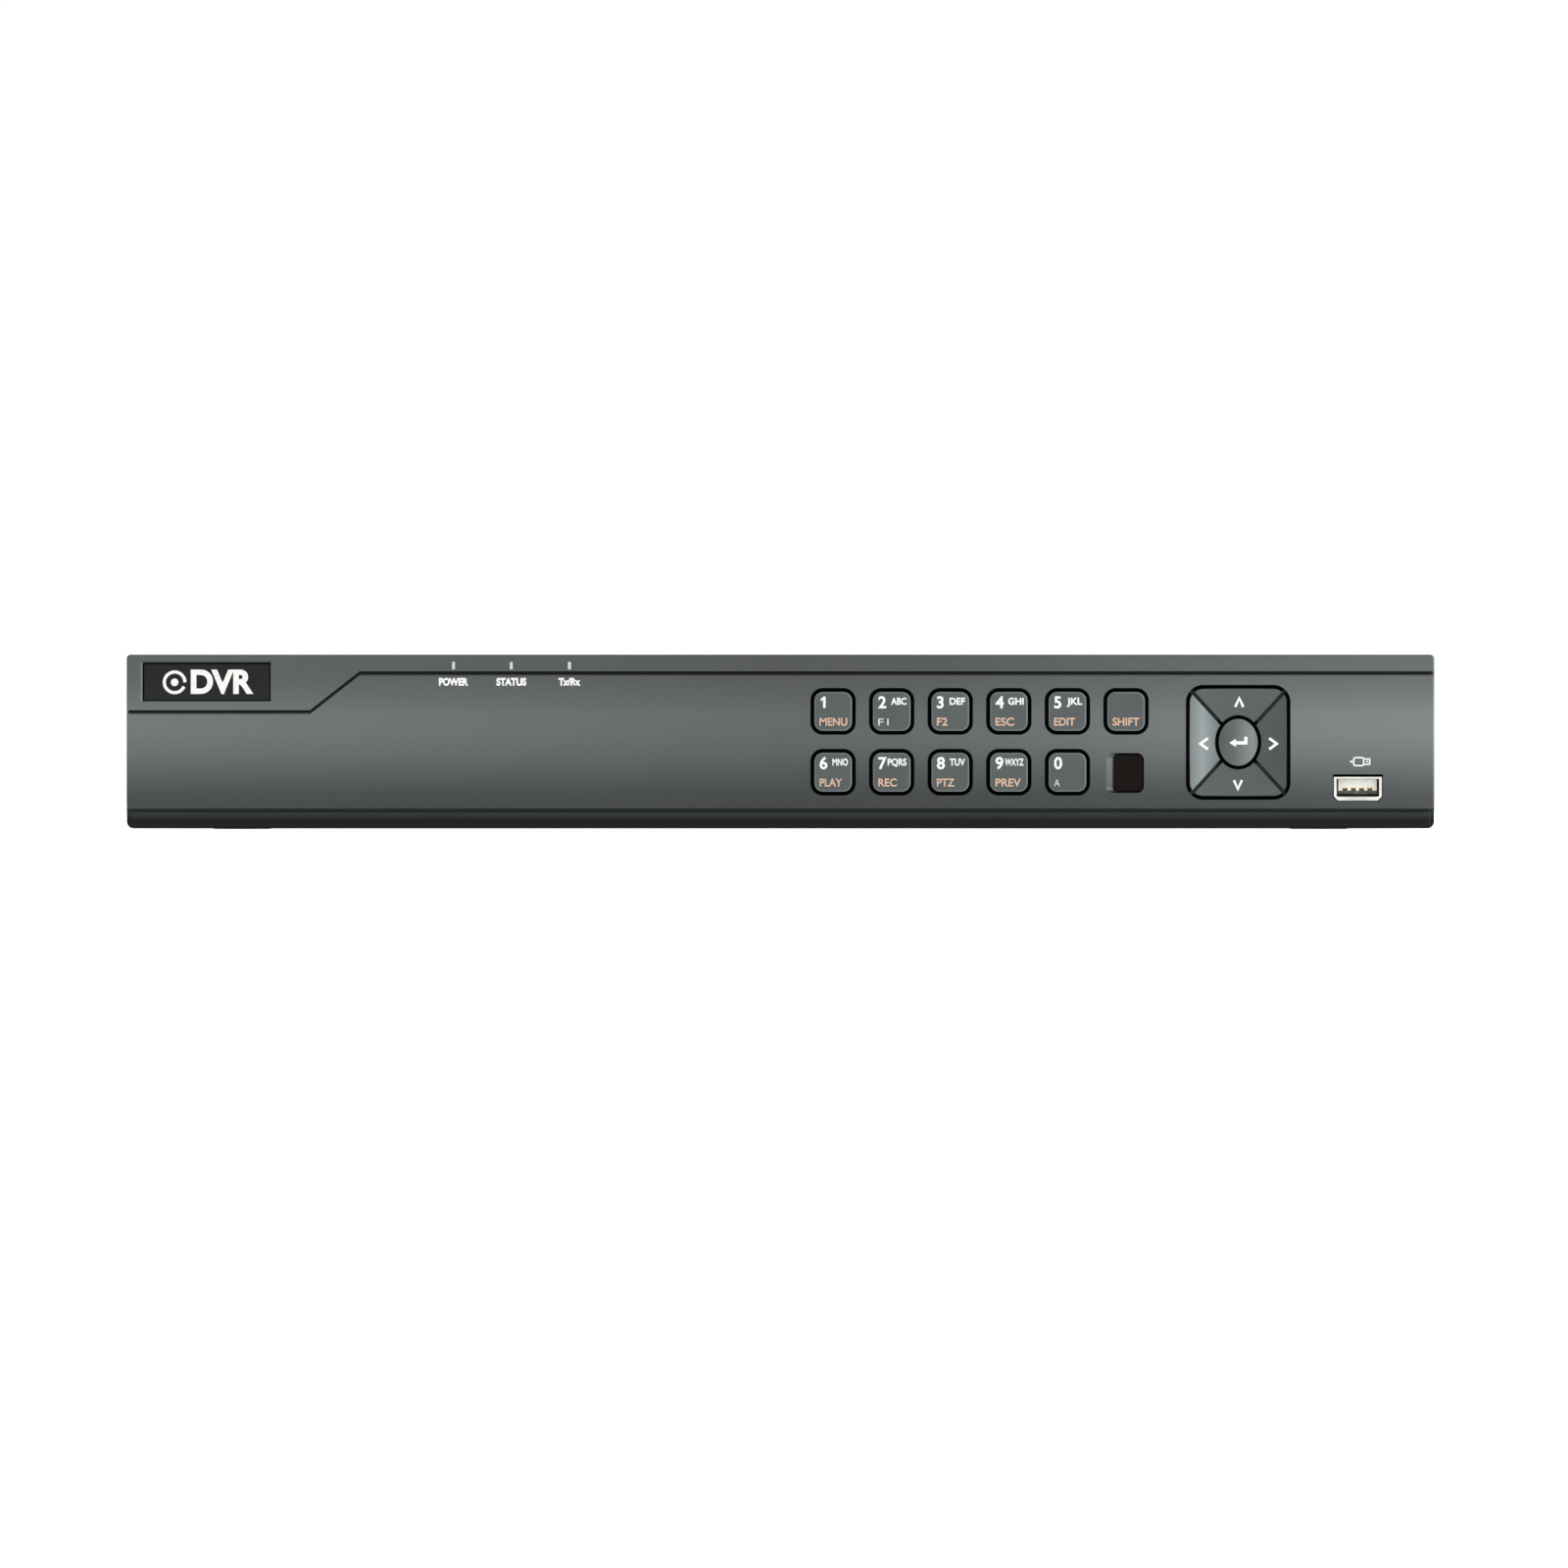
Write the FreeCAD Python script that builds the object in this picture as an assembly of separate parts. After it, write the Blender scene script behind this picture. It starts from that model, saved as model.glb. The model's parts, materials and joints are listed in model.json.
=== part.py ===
"""Sixteen-channel digital video recorder in a low desktop case.

Row frame in millimetres: +X to the right seen from the front, +Y from the front panel to the
rear panel, +Z up. The origin is on the floor, in the middle of the recorder's outline.
Every sub-part is written to parts/NODE.step; nodes of identical pieces hold separate solids.
"""
import FreeCAD, Part
import math
import os

V = FreeCAD.Vector
AXIS_X, AXIS_Y, AXIS_Z = V(1, 0, 0), V(0, 1, 0), V(0, 0, 1)

# ---- driving dimensions ------------------------------------------------------------------
WIDTH = 380.0
DEPTH = 320.0                   # key faces to the mouths of the video jacks
CASE_HEIGHT = 47.5              # underside of the base to the top of the cover
FOOT_HEIGHT = 3.0
SHEET = 1.0                     # thickness of the steel sheets

HALF = WIDTH / 2
FLOOR_Z = FOOT_HEIGHT           # underside of the base
BASE_CHAMFER = 3.4              # height of the slope along its two sides
TOP_Z = FLOOR_Z + CASE_HEIGHT   # top of the cover

# planes across the front, from the key faces inwards
KEY_FACE = -DEPTH / 2
FASCIA_FACE = KEY_FACE + 0.8
FASCIA_BACK = FASCIA_FACE + 1.4
WEB_BACK = FASCIA_BACK + 2.4
BOARD_FRONT = WEB_BACK + 5.8    # component side of the keypad board
BOARD_BACK = BOARD_FRONT + 1.6
FLANGE_FRONT, FLANGE_BACK = -155.3, -154.5     # flanges that keep the keys in
BEZEL_BACK = -147.9
WALL_FRONT = -146.4             # the base's front wall

# planes across the back
PANEL_IN = 147.0
PANEL_OUT = PANEL_IN + SHEET
FLANGE_OUT = PANEL_OUT + SHEET
JACK_TIP = DEPTH / 2
FRONT_MOUTH, REAR_MOUTH = FASCIA_FACE + 0.6, PANEL_OUT + 0.3     # mouths of the USB sockets

# front panel
BEZEL_BOTTOM, BEZEL_TOP = 0.3, 50.8
BEZEL_CORNER = 2.0
GROOVE = 0.9
GROOVE_BEVEL = 0.35             # slope along the lower edge of the upper groove
LIP_TOP = 4.95                  # the dark lower lip ends here
STRIP_GROOVE_Z = 45.5           # groove under the indicator strip
STEP_GROOVE_Z = 34.2            # the same groove where it drops below the badge
STEP_X = (-136.7, -122.3)       # where the groove slants between those two heights
GROOVE_DEPTH = 0.9

KEY_PITCH_X, KEY_PITCH_Z = 17.02, 17.67
KEY_X0, KEY_ROW_Z = 15.3, (34.3, 16.63)
KEY_HOLE = (13.2, 13.6, 3.6)    # width, height, corner radius
KEY_GAP = 1.1
KEY_NAMES = (("key_1", "key_2", "key_3", "key_4", "key_5", "key_shift"),
             ("key_6", "key_7", "key_8", "key_9", "key_0"))
PAD_CENTRE = (133.0, 25.3)
PAD_HOLE = (30.4, 33.4, 5.0)
PAD_OVAL = (6.75, 7.9)          # half width and height of the hole round the enter key
PAD_SLOT = 1.05
PAD_BOWL = (22.0, 0.8)          # radius and depth of the shallow dish in the pad
ENTER_DOME = 30.0               # radius of the enter key's rounded face
IR_CENTRE, IR_SIZE = (101.15, 16.4), (8.5, 11.0, 1.3)
IR_RECESS = (100.1, 16.4, 11.0, 11.6, 2.0)     # its sloped surround: centre, size, radius
LIGHT_X, LIGHT_Z = (-95.0, -78.2, -61.3), 47.6
FRONT_USB = (167.8, 12.0)
USB_BOARD_TOP = FRONT_USB[1] - 3.3
USB_SCREWS = ((162.8, -126.0), (178.8, -126.0))
BADGE = (-185.0, -148.3, 37.4, 48.1)    # x from, x to, z from, z to
BADGE_POCKET = (-185.9, -148.1, 37.2, 49.0)
BADGE_DEPTH = 0.9

# rear panel
FLANGE_SIDE, FLANGE_TOP = 4.6, 5.2      # widths of the cover's rear flange
COVER_SIDE_BOTTOM = 6.1
TAB_SCREWS = ((-90.2, 45.3), (90.2, 45.3), (-185.4, 25.8), (185.4, 25.8))
NOTCHES = ((-116.6, 3.1), (-178.1, 2.3))
VIDEO_X0, VIDEO_PITCH, VIDEO_ROWS = 165.1, 17.04, (32.8, 17.3)
VIDEO_OUT = (27.3, 32.8)
VIDEO_RING = 4.5                # the full-width front of a video jack, ahead of its lugs
VIDEO_SCREW_X, VIDEO_SCREW_Z = (152.2, 118.4, 84.4, 50.6), 24.9
AUDIO_IN_X, AUDIO_IN_Z = (-46.3, -61.3, -76.3, -91.6), 30.7
AUDIO_OUT = (-46.3, 16.8)
AUDIO_SCREWS = ((-53.5, 24.3), (-68.8, 31.2), (-83.9, 31.2))
REAR_USB = (27.1, 14.7)
HD_PORT = (6.7, 14.0)
VGA_PORT, VGA_SCREW_SPACING = (-21.5, 16.7), 24.99
LAN_PORT = (-65.6, 10.0, 16.4, 14.3)    # centre x, bottom z, width, height
TERMINAL_PITCH = 2.54
TERMINAL_Z = (10.3, 23.6)       # bottom and top of the terminal blocks
SERIAL_BLOCK = (-76.7, -82.8, -78.4, 2)     # body from, body to, first way, ways
ALARM_BLOCK = (-110.9, -177.9, -112.7, 26)
SERIAL_END, ALARM_END = -84.4, -180.9       # the low end of each block
SHOULDER_TOP = 20.6
LEVER = (20.3, 23.4)            # bottom and top of the terminal levers
LEVER_OUT = PANEL_OUT + 2.6
POWER_SOCKET = (-98.5, 17.6)
SWITCH = (-113.15, 33.1)
SWITCH_TILT = 10.0
SWITCH_PIVOT_Y = PANEL_OUT - 1.5
GROUND_SCREW = (-180.6, 37.2)

# inside
BOARD_TOP = 10.0                # component side of the mainboard
BOARD_BOTTOM = BOARD_TOP - 1.6
BOARD_BOSSES = ((-172, 88), (-60, 88), (60, 88), (172, 88), (-52, 30), (52, 30))
DRIVE_SIZE = (101.6, 147.0, 26.1)
DRIVE_X = (-99.2, 95.8)         # centres of the two drives
DRIVE_Y0 = -141.0
DRIVE_Z0 = 6.0
DRIVE_SCREW = (95.25, 44.45, 61.0)      # spacing across and along, first hole from the front
FAN = (-187.7, 36.0, 27.4)      # outer face x, centre y, centre z
FAN_SIZE, FAN_DEPTH = 40.0, 10.0
FEET = ((-158, -118), (158, -118), (-158, 118), (158, 118))
RIBBON_X, RIBBON_WIDTH = 0.0, 20.0
# mainboard: chips (x, y, width, depth, height) and capacitors (x, y, radius, height)
CHIPS = ((0, 100, 26, 26, 2.0), (-40, 96, 14, 22, 1.2), (40, 96, 14, 22, 1.2),
         (-20, 40, 16, 16, 1.4), (22, 42, 12, 18, 1.2), (95, 100, 14, 14, 1.4),
         (135, 100, 14, 14, 1.4), (-130, 104, 18, 12, 1.2), (-95, 96, 10, 10, 1.4))
CAPACITORS = ((-150, 96, 5, 12), (-138, 90, 5, 12), (-150, 112, 4, 10), (-112, 112, 4, 10),
              (70, 84, 4, 9), (82, 84, 4, 9), (-84, 84, 4, 9), (160, 92, 4, 9))
PLUG_X = tuple(x + dx for x in DRIVE_X for dx in (-14, 12))     # drive cable plugs


# ---- shape helpers -----------------------------------------------------------------------
def box(x0, x1, y0, y1, z0, z1):
    """Block between two opposite corners, given in any order."""
    low = V(min(x0, x1), min(y0, y1), min(z0, z1))
    return Part.makeBox(abs(x1 - x0), abs(y1 - y0), abs(z1 - z0), low)


def rod(axis, start, radius, length):
    """Cylinder from a point along an axis."""
    return Part.makeCylinder(radius, length, V(*start), axis)


def rod_y(x, z, radius, y0, y1):
    """Cylinder along Y, for everything that passes through the front or rear panel."""
    return rod(AXIS_Y, (x, min(y0, y1), z), radius, abs(y1 - y0))


def prism_y(outline, y0, y1):
    """Solid of a closed X-Z outline, given as edges or as points, between two Y planes."""
    start = min(y0, y1)
    if isinstance(outline, list) and isinstance(outline[0], tuple):
        points = [V(x, start, z) for x, z in outline]
        wire = Part.makePolygon(points + points[:1])
    else:
        wire = outline
        wire.translate(V(0, start, 0))
    return Part.Face(wire).extrude(V(0, abs(y1 - y0), 0))


def rounded_wire(x, z, width, height, radius):
    """Outline of a rounded rectangle centred on (x, z)."""
    w, h, r = width / 2, height / 2, radius
    k = r * (1 - math.sqrt(0.5))
    edges = []
    corners = ((1, 1), (-1, 1), (-1, -1), (1, -1))
    for i, (sx, sz) in enumerate(corners):
        a, b = V(x + sx * w, 0, z + sz * (h - r)), V(x + sx * (w - r), 0, z + sz * h)
        middle = V(x + sx * (w - k), 0, z + sz * (h - k))
        if i % 2:
            a, b = b, a
        edges.append(Part.Arc(a, middle, b).toShape())
        tx, tz = corners[(i + 1) % 4]
        if i % 2:
            c = V(x + tx * w, 0, z + tz * (h - r))
        else:
            c = V(x + tx * (w - r), 0, z + tz * h)
        edges.append(Part.LineSegment(b, c).toShape())
    return Part.Wire(edges)


def rounded(x, z, width, height, radius, y0, y1):
    """Rounded rectangle centred on (x, z), between two Y planes."""
    return prism_y(rounded_wire(x, z, width, height, radius), y0, y1)


def tapered(outer, y0, inner, y1):
    """Solid that runs from one outline at y0 to another at y1."""
    ends = []
    for outline, y in ((outer, y0), (inner, y1)):
        if isinstance(outline, list):
            points = [V(x, 0, z) for x, z in outline]
            outline = Part.makePolygon(points + points[:1])
        outline.translate(V(0, y, 0))
        ends.append(outline)
    return Part.makeLoft(ends, True, True)


def oval(x, z, half_width, half_height, y0, y1):
    """Upright ellipse centred on (x, z), between two Y planes."""
    curve = Part.Ellipse(V(x, 0, z + half_height), V(x + half_width, 0, z), V(x, 0, z))
    return prism_y(Part.Wire(curve.toShape()), y0, y1)


def union(shapes):
    """One solid of several that touch or overlap."""
    return shapes[0].multiFuse(shapes[1:]).removeSplitter()


def soften(shape, radius, wanted):
    """Fillets the edges that wanted(edge) picks."""
    return shape.makeFillet(radius, [e for e in shape.Edges if wanted(e)])


def on_plane_y(y):
    """Picks the edges that lie in one Y plane."""
    return lambda e: abs(e.BoundBox.YMin - y) < 1e-4 and abs(e.BoundBox.YMax - y) < 1e-4


def placed(shape, point, direction):
    """Turns a shape built along +Z so that it points along direction, and moves it to point."""
    copy = shape.copy()
    copy.Placement = FreeCAD.Placement(V(*point), FreeCAD.Rotation(AXIS_Z, direction))
    return copy


def write(name, *solids):
    """Writes a node: one solid, or a group of separate ones."""
    shape = solids[0] if len(solids) == 1 else Part.makeCompound(list(solids))
    shape.exportStep(f"parts/{name}.step")
    print(f"{name}: {len(shape.Solids)} solids, valid {shape.isValid()}")


def cable(points, radius=None, width=None, thickness=None):
    """Round or flat cable along straight runs joined by tangent arcs."""
    points = [V(*p) for p in points]
    edges, start = [], points[0]
    for before, corner, after in zip(points, points[1:], points[2:]):
        u = (before - corner).normalize()
        w = (after - corner).normalize()
        half_turn = (math.pi - u.getAngle(w)) / 2
        cut = min(0.45 * (before - corner).Length, 0.45 * (after - corner).Length, 12)
        bend = cut / math.tan(half_turn)
        a, b = corner + u * cut, corner + w * cut
        inward = (u + w).normalize()
        middle = corner + inward * (bend / math.cos(half_turn) - bend)
        edges.append(Part.LineSegment(start, a).toShape())
        edges.append(Part.Arc(a, middle, b).toShape())
        start = b
    edges.append(Part.LineSegment(start, points[-1]).toShape())
    heading = points[1] - points[0]
    if radius:
        profile = Part.Wire(Part.Circle(points[0], heading, radius).toShape())
    else:
        across = AXIS_X * (width / 2)
        up = AXIS_X.cross(heading).normalize() * (thickness / 2)
        middle = points[0]
        corners = [middle - across - up, middle + across - up, middle + across + up,
                   middle - across + up]
        profile = Part.makePolygon(corners + corners[:1])
    return Part.Wire(edges).makePipeShell([profile], True, False)


def bump(x, z, radius, flare, outward, y0, y1):
    """Half-round bump on a straight edge at (x, z), flared into the edge, pointing outward."""
    reach = math.sqrt((radius + flare) ** 2 - flare ** 2)
    share = radius / (radius + flare)
    along = V(-outward.z, 0, outward.x)
    origin = V(x, 0, z)

    def at(u, v):
        return origin + along * u + outward * v

    def flare_arc(side):
        centre = V(side * reach, flare, 0)
        touch = V(side * reach * share, flare * share, 0)
        direction = (V(0, -flare, 0) + (touch - centre)).normalize()
        middle = centre + direction * flare
        return touch, middle

    left, left_middle = flare_arc(-1)
    right, right_middle = flare_arc(1)
    edges = [
        Part.Arc(at(-reach, 0), at(left_middle.x, left_middle.y), at(left.x, left.y)).toShape(),
        Part.Arc(at(left.x, left.y), at(0, radius), at(right.x, right.y)).toShape(),
        Part.Arc(at(right.x, right.y), at(right_middle.x, right_middle.y), at(reach, 0)).toShape(),
        Part.LineSegment(at(reach, 0), at(reach, -radius)).toShape(),
        Part.LineSegment(at(reach, -radius), at(-reach, -radius)).toShape(),
        Part.LineSegment(at(-reach, -radius), at(-reach, 0)).toShape(),
    ]
    return prism_y(Part.Wire(edges), y0, y1)


# ---- base, rear panel, cover, feet -------------------------------------------------------
def base_chassis():
    inner = HALF - 1.2          # outer face of the side walls, just inside the cover
    low = FLOOR_Z + BASE_CHAMFER
    outline = [(-inner, low), (-inner + 5.4, FLOOR_Z), (inner - 5.4, FLOOR_Z),
               (inner, low), (inner, TOP_Z - 4.5), (-inner, TOP_Z - 4.5)]
    s = SHEET
    hollow = [(-inner + s, low + 0.5), (-inner + 5.7, FLOOR_Z + s),
              (inner - 5.7, FLOOR_Z + s), (inner - s, low + 0.5),
              (inner - s, TOP_Z), (-inner + s, TOP_Z)]
    shell = prism_y(outline, WALL_FRONT, PANEL_IN)
    shell = shell.cut(prism_y(hollow, WALL_FRONT + s, PANEL_IN + 1))
    adds, cuts = [], []
    for x, y in USB_SCREWS:
        adds.append(rod(AXIS_Z, (x, y, FLOOR_Z + 0.5), 3.0, USB_BOARD_TOP - 1.6 - FLOOR_Z - 0.5))
        cuts.append(rod(AXIS_Z, (x, y, FLOOR_Z + 1.2), 1.1, 6))
    for x, y in BOARD_BOSSES:
        adds.append(rod(AXIS_Z, (x, y, FLOOR_Z + 0.5), 3.2, BOARD_BOTTOM - FLOOR_Z - 0.5))
        cuts.append(rod(AXIS_Z, (x, y, FLOOR_Z + 2), 1.1, 6))
    for x, y in drive_screws():
        boss = Part.makeCone(6.5, 4.2, DRIVE_Z0 - FLOOR_Z - 0.6, V(x, y, FLOOR_Z + 0.6))
        adds.append(boss)
        cuts.append(rod(AXIS_Z, (x, y, FLOOR_Z - 1), 1.8, 6))
        cuts.append(rod(AXIS_Z, (x, y, FLOOR_Z - 1), 3.5, 2.4))
    for drive_x in DRIVE_X:
        for i in range(9):
            y = DRIVE_Y0 + 18 + 14 * i
            cuts.append(box(drive_x - 22, drive_x + 22, y - 1.5, y + 1.5, 0, FLOOR_Z + 2))
    for side in (-1, 1):
        for y in side_vents():
            cuts.append(side_slot(side * inner, y, FLOOR_Z + 14, TOP_Z - 14, 4))
    for x, y in FEET:
        cuts.append(rod(AXIS_Z, (x, y, 0), 2.0, 6))
    x, z = FRONT_USB
    cuts.append(box(x - 10, x + 16, WALL_FRONT - 1, WALL_FRONT + 2, z - 6.2, z + 6.2))
    cuts.append(rod_y(RIBBON_X, 20, 12, WALL_FRONT - 1, WALL_FRONT + 2))
    return shell.multiFuse(adds).cut(Part.makeCompound(cuts)).removeSplitter()


def drive_screws():
    """Centres of the screws that hold the drives to the base."""
    across, along, first = DRIVE_SCREW
    return [(x + side * across / 2, DRIVE_Y0 + first + row * along)
            for x in DRIVE_X for side in (-1, 1) for row in (0, 1)]


def side_vents():
    """Positions of the upright vent slots in both sides."""
    return [FAN[1] - 17.5 + 5 * i for i in range(8)]


def side_slot(x, y, z0, z1, depth):
    """Cutter for one upright slot with round ends through a side wall."""
    r = 1.3
    return union([box(x - depth, x + depth, y - r, y + r, z0 + r, z1 - r),
                  rod(AXIS_X, (x - depth, y, z0 + r), r, 2 * depth),
                  rod(AXIS_X, (x - depth, y, z1 - r), r, 2 * depth)])


def top_cover():
    front = BEZEL_BACK + 0.1
    r = 2.2
    outer = box(-HALF, HALF, front, FLANGE_OUT, COVER_SIDE_BOTTOM, TOP_Z)
    outer = soften(outer, r, lambda e: abs(e.BoundBox.ZMin - TOP_Z) < 1e-4
                   and abs(abs(e.BoundBox.XMin) - HALF) < 1e-4
                   and e.BoundBox.YLength > 100)
    room = box(-HALF + SHEET, HALF - SHEET, front - 1, PANEL_OUT, 0, TOP_Z - SHEET)
    room = soften(room, r - SHEET, lambda e: abs(e.BoundBox.ZMin - TOP_Z + SHEET) < 1e-4
                  and abs(abs(e.BoundBox.XMin) - HALF + SHEET) < 1e-4
                  and e.BoundBox.YLength > 100)
    window = box(-HALF + FLANGE_SIDE, HALF - FLANGE_SIDE, PANEL_OUT - 1, FLANGE_OUT + 1,
                 0, TOP_Z - FLANGE_TOP)
    cover = outer.cut(room).cut(window)
    tabs = []
    for x, z in TAB_SCREWS:
        outward = V(0, 0, -1) if abs(x) < 150 else V(-math.copysign(1, x), 0, 0)
        tabs.append(bump(x, z, 3.9, 1.6, outward, PANEL_OUT, FLANGE_OUT))
    cover = cover.multiFuse(tabs)
    cuts = []
    for x, z in TAB_SCREWS:
        cuts.append(rod_y(x, z, 1.7, PANEL_OUT - 1, FLANGE_OUT + 1))
    for x, depth in NOTCHES:
        z = TOP_Z - FLANGE_TOP
        radius = (4.6 ** 2 + depth ** 2) / (2 * depth)
        notch = rod_y(x, z + depth - radius, radius, PANEL_OUT - 1, FLANGE_OUT + 1)
        keep = box(x - 8, x + 8, PANEL_OUT - 1, FLANGE_OUT + 1, z - 1, z + 8)
        cuts.append(notch.common(keep))
    for side in (-1, 1):
        for y in side_vents():
            cuts.append(side_slot(side * HALF, y, FLOOR_Z + 14, TOP_Z - 14, 4))
    return cover.cut(Part.makeCompound(cuts)).removeSplitter()


def rubber_feet():
    feet = []
    for x, y in FEET:
        foot = rod(AXIS_Z, (x, y, 0), 9, FOOT_HEIGHT)
        foot = soften(foot, 1.0, lambda e: e.BoundBox.ZMax < 1e-4)
        feet.append(foot.fuse(rod(AXIS_Z, (x, y, FOOT_HEIGHT), 1.9, 1.6)).removeSplitter())
    return feet


def rear_panel():
    panel = box(-HALF + 1.4, HALF - 1.4, PANEL_IN, PANEL_OUT, FLOOR_Z + 0.1, TOP_Z - 1.4)
    for side in (-1, 1):
        corner = [(side * HALF, FLOOR_Z - 1), (side * (HALF - 10), FLOOR_Z - 1),
                  (side * (HALF - 10), FLOOR_Z), (side * (HALF - 4.6), FLOOR_Z + BASE_CHAMFER),
                  (side * (HALF - 4.6), COVER_SIDE_BOTTOM + 0.4),
                  (side * HALF, COVER_SIDE_BOTTOM + 0.4)]
        panel = panel.cut(prism_y(corner, PANEL_IN - 1, PANEL_OUT + 1))
    a, b = PANEL_IN - 1, PANEL_OUT + 1
    cuts = [rod_y(x, z, 4.9, a, b) for x, z in video_jacks()]
    cuts += [rod_y(x, z, 4.15, a, b) for x, z in audio_jacks()]
    x, z = REAR_USB
    cuts.append(rounded(x, z, 14.9, 8.0, 1.2, a, b))
    cuts.append(prism_y(hd_outline(-0.45), a, b))
    x, z = VGA_PORT
    cuts.append(prism_y(d_outline(x, z, 17.6, 9.6), a, b))
    cuts += [rod_y(x + side * VGA_SCREW_SPACING / 2, z, 1.8, a, b) for side in (-1, 1)]
    x, z, w, h = LAN_PORT
    cuts.append(box(x - w / 2 - 0.35, x + w / 2 + 0.35, a, b, z - 0.1, z + h + 0.5))
    for block, end, gap in ((SERIAL_BLOCK, SERIAL_END, 1.0), (ALARM_BLOCK, ALARM_END, 0.15)):
        low = TERMINAL_Z[0] - 0.15
        cuts.append(box(block[0] + 0.15, block[1] - 0.4, a, b, low, TERMINAL_Z[1] + 0.7))
        cuts.append(box(block[0] - 1, end - gap, a, b, low, SHOULDER_TOP + 0.5))
    x, z = POWER_SOCKET
    cuts.append(rod_y(x, z, 6.2, a, b))
    x, z = SWITCH
    cuts.append(box(x - 9.7, x + 9.7, a, b, z - 6.5, z + 6.5))
    cuts += [rod_y(x, z, 1.3, a, b) for x, z in small_screws()]
    cuts += [rod_y(x, z, 1.5, a, b) for x, z in TAB_SCREWS]
    cuts.append(rod_y(*GROUND_SCREW, 1.9, a, b))
    return panel.cut(Part.makeCompound(cuts)).removeSplitter()


def video_jacks():
    jacks = [(VIDEO_X0 - VIDEO_PITCH * i, z) for z in VIDEO_ROWS for i in range(8)]
    return jacks + [VIDEO_OUT]


def audio_jacks():
    return [(x, AUDIO_IN_Z) for x in AUDIO_IN_X] + [AUDIO_OUT]


def small_screws():
    """Silver screws that hold the jack blocks to the rear panel."""
    return [(x, VIDEO_SCREW_Z) for x in VIDEO_SCREW_X] + list(AUDIO_SCREWS)


def d_outline(x, z, width, height):
    """Edges of a D-shaped plug outline, wider at the top."""
    w, h, slope = width / 2, height / 2, height * math.tan(math.radians(10))
    corners = [(x - w, z + h), (x + w, z + h), (x + w - slope, z - h), (x - w + slope, z - h)]
    return round_outline(corners, 2.2)


def round_outline(corners, radius):
    """Closed wire through corner points, each rounded by radius."""
    points = [V(x, 0, z) for x, z in corners]
    edges, ends = [], []
    count = len(points)
    for i, corner in enumerate(points):
        u = (points[i - 1] - corner).normalize()
        w = (points[(i + 1) % count] - corner).normalize()
        half = u.getAngle(w) / 2
        reach = radius / math.tan(half)
        middle = corner + (u + w).normalize() * (radius / math.sin(half) - radius)
        ends.append((corner + u * reach, corner + w * reach))
        edges.append(Part.Arc(ends[i][0], middle, ends[i][1]).toShape())
    for i in range(count):
        edges.append(Part.LineSegment(ends[i][1], ends[(i + 1) % count][0]).toShape())
    return Part.Wire(Part.__sortEdges__(edges))


# ---- front -------------------------------------------------------------------------------
def key_places():
    """Name and centre of each numbered key."""
    return {name: (KEY_X0 + KEY_PITCH_X * i, KEY_ROW_Z[row])
            for row, names in enumerate(KEY_NAMES) for i, name in enumerate(names)}


def key_openings(y0, y1):
    """Cutters for the keys and the pad."""
    w, h, r = KEY_HOLE
    cuts = [rounded(x, z, w, h, r, y0, y1) for x, z in key_places().values()]
    cuts.append(rounded(*PAD_CENTRE, *PAD_HOLE, y0, y1))
    return cuts


def usb_window(y0, y1):
    x, z = FRONT_USB
    outline = [(x - 7.25, z + 4.0), (x + 7.25, z + 4.0), (x + 7.25, z - 2.5),
               (x + 5.95, z - 3.8), (x - 5.95, z - 3.8), (x - 7.25, z - 2.5)]
    return prism_y(outline, y0, y1)


def front_bezel():
    wall = 2.0
    body = rounded(0, (BEZEL_BOTTOM + BEZEL_TOP) / 2, WIDTH, BEZEL_TOP - BEZEL_BOTTOM,
                   BEZEL_CORNER, FASCIA_BACK, BEZEL_BACK)
    body = body.cut(box(-HALF + wall, HALF - wall, WEB_BACK, 0,
                        BEZEL_BOTTOM + wall, BEZEL_TOP - wall))
    lip_front = FASCIA_FACE + 0.3
    lip = box(-HALF + 1.0, HALF - 1.0, lip_front, FASCIA_BACK + 0.2, BEZEL_BOTTOM + 0.3, LIP_TOP)
    lip = lip.makeChamfer(1.1, [e for e in lip.Edges if on_plane_y(lip_front)(e)
                                and e.BoundBox.ZMax < BEZEL_BOTTOM + 0.31])
    lip = soften(lip, 0.8, lambda e: e.BoundBox.YLength < 0.01 and e.BoundBox.ZLength > 1
                 and e.BoundBox.YMax < FASCIA_BACK)
    posts = []
    for x, z in board_screws():
        posts.append(rod_y(x, z, 3.0, WEB_BACK - 0.2, BOARD_FRONT))
    body = body.multiFuse([lip] + posts)
    cuts = key_openings(FASCIA_BACK - 1, WEB_BACK + 0.01)
    cuts.append(rounded(*IR_CENTRE, *IR_SIZE, FASCIA_BACK - 1, WEB_BACK + 0.01))
    cuts.append(usb_window(FASCIA_BACK - 1, WEB_BACK + 1))
    cuts += [box(x - 0.7, x + 0.7, FASCIA_BACK - 1, WEB_BACK + 1, LIGHT_Z - 1.5, LIGHT_Z + 1.5)
             for x in LIGHT_X]
    cuts += [rod_y(x, z, 0.9, BOARD_FRONT - 4, BOARD_BACK) for x, z in board_screws()]
    return body.cut(Part.makeCompound(cuts)).removeSplitter()


def board_screws():
    """Screws that hold the keypad board to the bezel."""
    return [(x, 25.5) for x in (-115, -30, 3.5, 112.4, 153.5)]


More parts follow.
